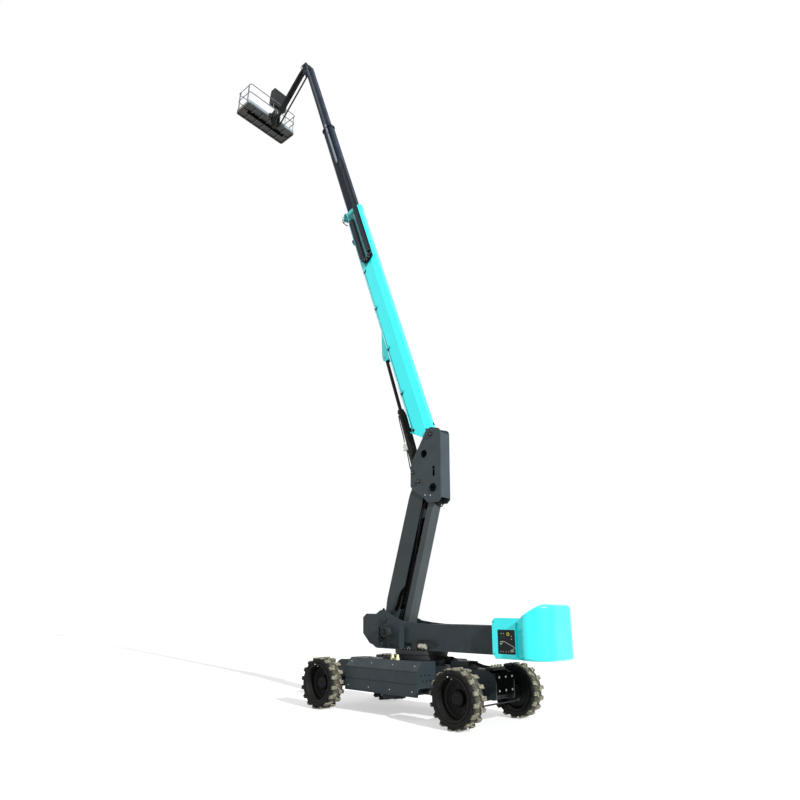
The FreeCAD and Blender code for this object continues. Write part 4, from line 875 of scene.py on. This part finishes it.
# ---- main boom
boom = {"side": 0.165, "end": 9.35, "clips": 5, "clipStep": 1.61, "firstClip": 1.62, "pipeY": 0.146,
    "pipeZ": -0.562}
boomPiece, boomRow, boomHoses = makersFor("boom_base", boomFrame)
rootPins = bmesh.new()
for side, _ in bothSides:
    addPin(rootPins, (0.42, -0.5), 0.164 * side, 0.173 * side, 0.042)
    addPlate(rootPins, oval(0.19, -0.1, 0.03, 0.024, 20, stretch=0.03), 0.158 * side, 0.168 * side)
boomPiece("rootPins", rootPins, "black", bevel=0.002)
newPiece("rootBreather", shape((addRod, (0, 0, 0.03), (0, 0, 0.04), 0.038, 28)), "black", "boom_base",
    bevel=0.002, place=boomFrame @ Matrix.Translation((0.355, -0.045, 0)) @ Matrix.Diagonal((1.5, 1, 1, 1)))
clip = shape((addBox, (-0.018, 0.148, -0.53), (0.018, 0.174, -0.462)),
    (addRod, (0, 0.166, -0.49), (0.06, 0.196, -0.425), 0.01, 8),
    (addRod, (0, 0.166, -0.49), (0.055, 0.184, -0.555), 0.01, 8),
    (addRod, (0, 0.16, -0.51), (-0.05, 0.148, -0.59), 0.01, 8))
boomRow("hoseClips", clip, "black", boom["clips"], shift=(boom["clipStep"], 0, 0),
    start=(boom["firstClip"], 0, 0))
# a real pipe along the boom's lower bevel, drawn pale: the pale is a painted reflection of the bright floor
# on that bevel
boomHoses("boomPipe", [[(0.55, 0.15, -0.575), (0.8, 0.15, -0.56),
        *[(x, boom["pipeY"], boom["pipeZ"]) for x in (1.2, 4.0, 8.0)], (9.0, 0.15, -0.555),
        (9.2, 0.165, -0.5)]], 0.017, "rungPale")
for side, label, count, step in ((1, "left", 2, 0.36), (-1, "right", 4, 0.12)):
    boomRow("headBolts_" + label, bolt(0.013, 0.014, (0, side, 0)), "black", count, shift=(0, 0, step),
        start=(boom["end"] - 0.07, boom["side"] * side, -0.47))
boomRow("headBolts_top", bolt(0.013, 0.012), "black", 2, shift=(0, 0.1, 0),
    start=(boom["end"] - 0.06, -0.05, 0.034))
bands = bmesh.new()
for x in (boom["end"] - 0.012, boom["end"] - 0.2):
    addBox(bands, (x - 0.012, -0.081, 0.03), (x + 0.012, 0.081, 0.05))
    addBox(bands, (x - 0.012, -0.08, -0.632), (x + 0.012, 0.08, -0.612))
boomPiece("headBands", bands, "turquoise", bevel=0.003)
pulley = [(0.225, 0.03), (0.245, 0.03), (0.245, 0.046), (0.225, 0.046)]
bracket = shape((addBox, (9.02, 0.1, -0.64), (9.22, 0.22, -0.56)),
    (addBox, (9.05, 0.165, -0.6), (9.2, 0.26, -0.585)), (addPin, (9.1, -0.655), 0.12, 0.26, 0.022, 16),
    (addTurned, pulley, 24, True, 9.0, -0.66), (addBox, (9.16, 0.2, -0.6), (9.3, 0.245, -0.5)))
boomPiece("headBracket", bracket, "turquoiseDeep", bevel=0.003)
boomHoses("headHoses", [[(9.2, 0.23, -0.52), (9.1, 0.25, -0.62), (9.0, 0.24, -0.7), (8.9, 0.2, -0.69),
        (8.82, 0.16, -0.63)], [(9.24, 0.22, -0.52), (9.22, 0.25, -0.64), (9.1, 0.25, -0.73),
        (8.96, 0.2, -0.72), (8.86, 0.15, -0.63)]], 0.01, "hoseRubber")
under = shape((addBox, (7.92, 0.03, -0.655), (8.12, 0.13, -0.612)),
    (addPin, (8.02, -0.645), 0.03, 0.15, 0.02, 12))
boomPiece("underBracket", under, "turquoiseDeep", bevel=0.003)
gusset = bmesh.new()
for side, _ in bothSides:
    addPin(gusset, (3.147, -0.781), 0.105 * side, 0.118 * side, 0.036, 24)
    addPin(gusset, (3.147, -0.781), 0.116 * side, 0.126 * side, 0.014, 6)
boomPiece("gussetPins", gusset, "machinedSteel", bevel=0.002)
boomHoses("rootHoses", [[(0.46, y, -0.628), (0.6, y, -0.65), (0.9, y, -0.64), (1.2, y, -0.632),
        (2.6, y, -0.632), (2.8, y, -0.626)] for y in (-0.05, -0.02, 0.01, 0.04)], 0.011, "hoseRubber")
print("main boom dressed")

# ---- energy chain: one link, repeated along the fixed run, the moving run and round the loop
chain = {"pitch": 0.1, "inner": 0.182, "outer": 0.248, "deep": 0.165, "bend": 6.93, "middle": -0.234,
    "gap": 0.067, "fixedEnd": 8.85, "topEnd": 11.92, "stud": 0.018, "loopLinks": 5,
    "loopTurn": math.radians(-36)}


def blunted(across, up, flatAcross, flatUp):
    # an eight-cornered outline: a rectangle with its corners taken off
    quarter = [(flatAcross, up), (across, flatUp)]
    return ([(-x, -z) for x, z in reversed(quarter)] + [(x, -z) for x, z in quarter]
        + [(x, z) for x, z in reversed(quarter)] + [(-x, z) for x, z in quarter])


def chainLink():
    # two side plates with their corners taken off, held apart by cross bars
    p, half, inner, outer = chain["pitch"], chain["deep"] / 2, chain["inner"], chain["outer"]
    cheek = blunted(p * 0.46, half, p * 0.3, half * 0.7)
    return shape((addPlate, cheek, inner - 0.001, inner + 0.012),
        (addPlate, cheek, outer - 0.012, outer + 0.004),
        (addBox, (-p * 0.12, inner + 0.008, -half + 0.002), (p * 0.12, outer - 0.008, -half + 0.018)),
        (addBox, (-p * 0.12, inner + 0.008, half - 0.018), (p * 0.12, outer - 0.008, half - 0.002)),
        (addBox, (-p * 0.6, inner + 0.014, -half * 0.6), (p * 0.6, outer - 0.014, half * 0.6)))


def chainStuds():
    # the raised rib down the middle of each link, with a stud at each end
    half, tip, outer = chain["stud"], chain["deep"] * 0.38, chain["outer"]
    return shape((addPlate, blunted(half, tip, half * 0.6, tip * 0.8), outer + 0.002, outer + 0.008),
        (addPin, (0, -tip * 0.7), outer + 0.006, outer + 0.011, half * 0.8, 8),
        (addPin, (0, tip * 0.7), outer + 0.006, outer + 0.011, half * 0.8, 8))


loopRadius = chain["gap"] + chain["deep"] / 2
fixedCount = int((chain["fixedEnd"] - chain["bend"]) / chain["pitch"])
movingCount = int((chain["topEnd"] - chain["bend"]) / chain["pitch"])
fixedStart = chain["bend"] + chain["pitch"] * 0.62
movingStart = chain["topEnd"] - chain["pitch"] * (movingCount - 0.5)
runs = {
    "fixed": ("boom_base", fixedCount, (fixedStart, 0, chain["middle"] - loopRadius)),
    "moving": ("boom_mid", movingCount, (movingStart, 0, chain["middle"] + loopRadius)),
}
for key, (body, count, start) in runs.items():
    along = {"shift": (chain["pitch"], 0, 0), "start": start, "place": boomFrame}
    links = repeated("chainLinks_" + key, chainLink(), "nylonBlack", count, body, **along)
    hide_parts("energy_chain_" + key)
    repeated("chainStuds_" + key, chainStuds(), "studGrey", count, body, **along)
for label, draw, paint in (("Links", chainLink, "nylonBlack"), ("Studs", chainStuds, "studGrey")):
    loopPiece = draw()
    loopPiece.transform(Matrix.Translation((0, 0, loopRadius)))
    repeated("chainLoop" + label, loopPiece, paint, chain["loopLinks"], "boom_mid",
        turn=(0, chain["loopTurn"], 0), turnStart=(0, chain["loopTurn"] / 2, 0),
        centre=(chain["bend"], 0, chain["middle"]), place=boomFrame)
boomRow("carrierRungs", shape((addBox, (-0.026, 0.17, -0.285), (0.026, 0.1768, -0.183))), "rungPale", 21,
    shift=(0.1, 0, 0), start=(6.98, 0, 0))
newPiece("chainAnchor", shape((addBox, (11.83, 0.178, -0.172), (11.93, 0.252, -0.01))), "black", "boom_mid",
    place=boomFrame, bevel=0.004)
print("energy chain dressed", fixedCount + movingCount + chain["loopLinks"], "links")

# ---- telescoping sections and tip
sections = {"midEnd": 14.3, "midSide": 0.157, "flyEnd": 18.6, "flySide": 0.105, "middle": -0.291}
for side, label in bothSides:
    repeated("midHeadBolts_" + label, bolt(0.01, 0.011, (0, side, 0)), "black", 4, "boom_mid",
        shift=(0, 0, 0.09), start=(sections["midEnd"] - 0.075, sections["midSide"] * side,
            sections["middle"] - 0.17), place=boomFrame)
    repeated("tipBolts_" + label, bolt(0.012, 0.012, (0, side, 0)), "machinedSteel", 3, "boom_fly",
        shift=(0, 0, -0.07), place=boomFrame, start=(sections["flyEnd"] - 0.055, sections["flySide"] * side,
            sections["middle"] + 0.1))
tipHeads = bmesh.new()
for side, _ in bothSides:
    addPin(tipHeads, boomTip.xz, 0.119 * side, 0.128 * side, 0.055)
    addPin(tipHeads, boomTip.xz, 0.126 * side, 0.138 * side, 0.018, 6)
newPiece("tipPinHeads", tipHeads, "black", "boom_fly", bevel=0.002)
tubeClip = shape((addBox, (-0.025, 0.13, -0.284), (0.025, 0.18, -0.184)),
    (addBox, (-0.025, 0.172, -0.28), (0.025, 0.258, -0.27)),
    (addBox, (-0.025, 0.172, -0.198), (0.025, 0.258, -0.188)))
repeated("tubeClips", tubeClip, "black", 2, "boom_mid", shift=(0.36, 0, 0), start=(13.7, 0, 0),
    place=boomFrame)
hosePiece("tipHoses", [[(18.55, 0.215, -0.234), (18.75, 0.215, -0.25), (18.95, 0.2, -0.33),
        (19.08, 0.18, -0.45), (19.12, 0.15, -0.6)],
        [(18.55, 0.195, -0.234), (18.72, 0.19, -0.26), (18.88, 0.18, -0.36), (18.98, 0.16, -0.47),
        (19.02, 0.14, -0.6)]], 0.013, "hoseRubber", "boom_fly", place=boomFrame)
print("telescoping sections dressed")

# ---- jib
jib = {"hoseTop": 0.105, "sideOut": 0.078, "clamps": 5, "clampStep": 0.48}
_, jibRow, jibHoses = makersFor("jib_arm", jibFrame)
jibHoses("jibHoses", [[(0.16, y, 0.1), *[(x, y, jib["hoseTop"]) for x in (0.4, 1.2, 2.0)],
        (jibLength - 0.16, y, 0.1)] for y in (-0.05, -0.017, 0.017, 0.05)], 0.017, "hoseRubber")
jibHoses("jibSideHoses", mirrored([[(0.22, 0.062, z),
        *[(x, jib["sideOut"], z) for x in (0.4, 1.1, jibLength - 0.42)], (jibLength - 0.26, 0.062, z)]
        for z in (0.062, 0.0, -0.058)]), 0.026, "hoseRubber")
jibRow("jibClamps", shape((addBox, (-0.018, -0.052, 0.08), (0.018, 0.052, 0.122))), "black", jib["clamps"],
    shift=(jib["clampStep"], 0, 0), start=(0.25, 0, 0))
jibHeads = bmesh.new()
for side, _ in bothSides:
    addPin(jibHeads, jibEnd.xz, 0.091 * side, 0.1 * side, 0.04, 24)
    addPin(jibHeads, jibEnd.xz, 0.098 * side, 0.108 * side, 0.014, 6)
newPiece("jibPinHeads", jibHeads, "machinedSteel", "platform_support", bevel=0.002)

# the drive that turns the platform, held to the cheek on the jib's side of the post, so that the platform
# swings clear of it; x is taken from the post and z from the jib's end
driveFrame = Matrix.Translation((jointAt("platform_turn").x, 0, jibEnd.z))
drive = shape((addBox, (-0.22, 0.078, -0.005), (-0.09, 0.13, 0.085)),
    (addRod, (-0.22, 0.104, 0.055), (-0.26, 0.104, 0.055), 0.018, 20),
    (addRod, (-0.22, 0.104, 0.015), (-0.25, 0.104, 0.015), 0.014, 6))
drivePiece, _, driveHoses = makersFor("platform_support", driveFrame)
drivePiece("turnActuator", drive, "black", bevel=0.004)
driveHoses("turnHoses", [[(-0.25, 0.104, 0.055), (-0.3, 0.108, 0.05), (-0.32, 0.12, -0.02),
        (-0.26, 0.125, -0.1), (-0.16, 0.105, -0.12)],
        [(-0.24, 0.104, 0.015), (-0.28, 0.106, 0.01), (-0.29, 0.115, -0.03), (-0.24, 0.118, -0.08),
        (-0.16, 0.095, -0.09)]], 0.01, "hoseRubber")
print("jib dressed")

# ---- platform
consoleLow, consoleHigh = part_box("platform_console")
floorLow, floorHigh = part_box("platform_floor")
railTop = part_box("platform_rails")[1][2]
gateLow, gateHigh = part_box("platform_gate")
platform = {"levers": (-0.6, -0.46, -0.32, -0.18), "ribs": (-0.8, -0.4, 0, 0.4, 0.8), "ribHalf": 0.012,
    "bandHalf": 0.075, "bolts": 6, "boltStep": 0.44, "firstBolt": -1.1}
platformPiece, platformRow, _ = makersFor("platform")
lid = shape((addBox, (consoleLow[0] + 0.1, consoleLow[1] + 0.06, consoleHigh[2] - 0.012),
        (consoleLow[0] + 0.25, consoleHigh[1] - 0.06, consoleHigh[2] - 0.002)))
platformPiece("consoleLid", lid, "absBlack", bevel=0.004)
levers = bmesh.new()
x, z = consoleHigh[0] - 0.03, consoleHigh[2] - 0.24
for y in platform["levers"]:
    addRod(levers, (x - 0.012, y, z), (x + 0.004, y, z + 0.004), 0.034, 20)
    if y in (platform["levers"][0], platform["levers"][-1]):
        addRod(levers, (x - 0.01, y, z), (x + 0.006, y, z + 0.075), 0.009, 10)
platformPiece("consoleLevers", levers, "absBlack", bevel=0.001)
x, z = consoleHigh[0], consoleHigh[2] - 0.14
platformPiece("consoleStop", shape((addRod, (x - 0.045, -0.09, z), (x - 0.01, -0.09, z + 0.005), 0.026, 24)),
    "red", bevel=0.002)
x = consoleLow[0] + 0.045
brackets = [(addRod, (x, y, railTop - 0.46), (x, y, railTop - 0.16), 0.012, 12)
    for y in (consoleLow[1] + 0.03, consoleHigh[1] - 0.03)]
platformPiece("consoleBrackets", shape(*brackets), "railGrey")
row = {"shift": (0, platform["boltStep"], 0), "count": platform["bolts"]}
platformRow("kickBolts", bolt(0.01, 0.012, (1, 0, 0)), "machinedSteel", **row,
    start=(floorHigh[0] - 0.001, platform["firstBolt"], floorHigh[2] + 0.06))
platformRow("floorBolts", bolt(0.012, 0.012, (0, 0, -1)), "machinedSteel", **row,
    start=(floorLow[0] + 0.025, platform["firstBolt"], floorLow[2]))
under = floorLow[2]
ribs = [(addBox, (floorLow[0] + 0.05, y - platform["ribHalf"], under - 0.002),
        (floorHigh[0] - 0.05, y + platform["ribHalf"], under + 0.001)) for y in platform["ribs"]]
platformPiece("floorRibs", shape(*ribs), "railGrey", slotName="black_steel")
deckMiddle = (floorLow[0] + floorHigh[0]) / 2
band = shape((addBox, (deckMiddle - platform["bandHalf"], floorLow[1] + 0.28, under - 0.004),
        (deckMiddle + platform["bandHalf"], floorHigh[1] - 0.28, under + 0.001)))
platformPiece("floorBand", band, "primerBlack")
latch = shape((addBox, (gateHigh[0] - 0.045, gateLow[1] - 0.002, gateHigh[2] - 0.1),
        (gateHigh[0] + 0.004, gateHigh[1] + 0.002, gateHigh[2] - 0.05)))
newPiece("gateLatch", latch, "black", "platform_gate", "rail", bevel=0.003)
print("platform dressed")

# ---- studio
studio = {"floor": "#bcbcbc", "floorHalf": 120.0, "floorLift": 0.53, "sky": 0.6, "sun": 4.6,
    "sunFrom": (-0.85, 0.21, 0.48), "sunAngle": 1.5}


def strongest(tree, *sorts):
    # 1 for the sorts of ray named and 0 for all others
    rays = addNode(tree, "ShaderNodeLightPath").outputs
    value = rays[sorts[0]]
    for sort in sorts[1:]:
        value = combined(tree, "MAXIMUM", value, rays[sort])
    return value


floorMesh = bmesh.new()
bmesh.ops.create_grid(floorMesh, x_segments=1, y_segments=1, size=studio["floorHalf"])
floorData = bpy.data.meshes.new("studioFloor")
floorMesh.to_mesh(floorData)
floorMesh.free()
floor = linked("studioFloor", floorData)
floor.location = (0, 0, cadBox[0][2] - 0.001)
floorPaint = bpy.data.materials.new("paintedStudioFloor")
tree = emptyTree(floorPaint)
seen = combined(tree, "MULTIPLY", strongest(tree, "Is Camera Ray", "Is Glossy Ray"), studio["floorLift"])
soft = addNode(tree, "ShaderNodeBsdfDiffuse", {"Color": srgb(studio["floor"])})
lift = addNode(tree, "ShaderNodeEmission", {"Color": (1, 1, 1, 1)}, {"Strength": seen})
lifted = addNode(tree, "ShaderNodeAddShader", links={0: soft.outputs[0], 1: lift.outputs[0]})
addNode(tree, "ShaderNodeOutputMaterial", links={"Surface": lifted.outputs[0]})
floorData.materials.append(floorPaint)

world = bpy.data.worlds.new("softStudio")
bpy.context.scene.world = world
tree = emptyTree(world)
direct = strongest(tree, "Is Camera Ray", "Is Glossy Ray", "Is Transmission Ray")
strength = ranged(tree, direct, {"To Min": studio["sky"], "To Max": 1.0})
sky = addNode(tree, "ShaderNodeBackground", {"Color": (1, 1, 1, 1)}, {"Strength": strength})
addNode(tree, "ShaderNodeOutputWorld", links={"Surface": sky.outputs[0]})

sunData = bpy.data.lights.new("keyLamp", "SUN")
sunData.energy = studio["sun"]
sunData.angle = math.radians(studio["sunAngle"])
sun = linked("keyLamp", sunData)
sun.rotation_mode = "QUATERNION"
sun.rotation_quaternion = Vector(studio["sunFrom"]).to_track_quat("Z", "Y")

view = {"at": (middleX - 10.1061, 12.0079, 2.2074), "yaw": -48.184, "pitch": 19.343, "roll": 0.651,
    "lens": 27.193, "sensor": 36.0, "reach": 400}
yaw, pitch, roll = (math.radians(view[k]) for k in ("yaw", "pitch", "roll"))
ahead = Vector((math.cos(pitch) * math.cos(yaw), math.cos(pitch) * math.sin(yaw), math.sin(pitch)))
level = Vector((math.sin(yaw), -math.cos(yaw), 0))
above = level.cross(ahead)
right = level * math.cos(roll) + above * math.sin(roll)
top = above * math.cos(roll) - level * math.sin(roll)
cameraData = bpy.data.cameras.new("studioCamera")
cameraData.lens = view["lens"]
cameraData.sensor_width = view["sensor"]
cameraData.clip_end = view["reach"]
camera = linked("studioCamera", cameraData)
camera.matrix_world = Matrix.Translation(view["at"]) @ Matrix((right, top, -ahead)).transposed().to_4x4()
bpy.context.scene.camera = camera
bpy.context.scene.view_settings.view_transform = "Standard"
print("studio set")
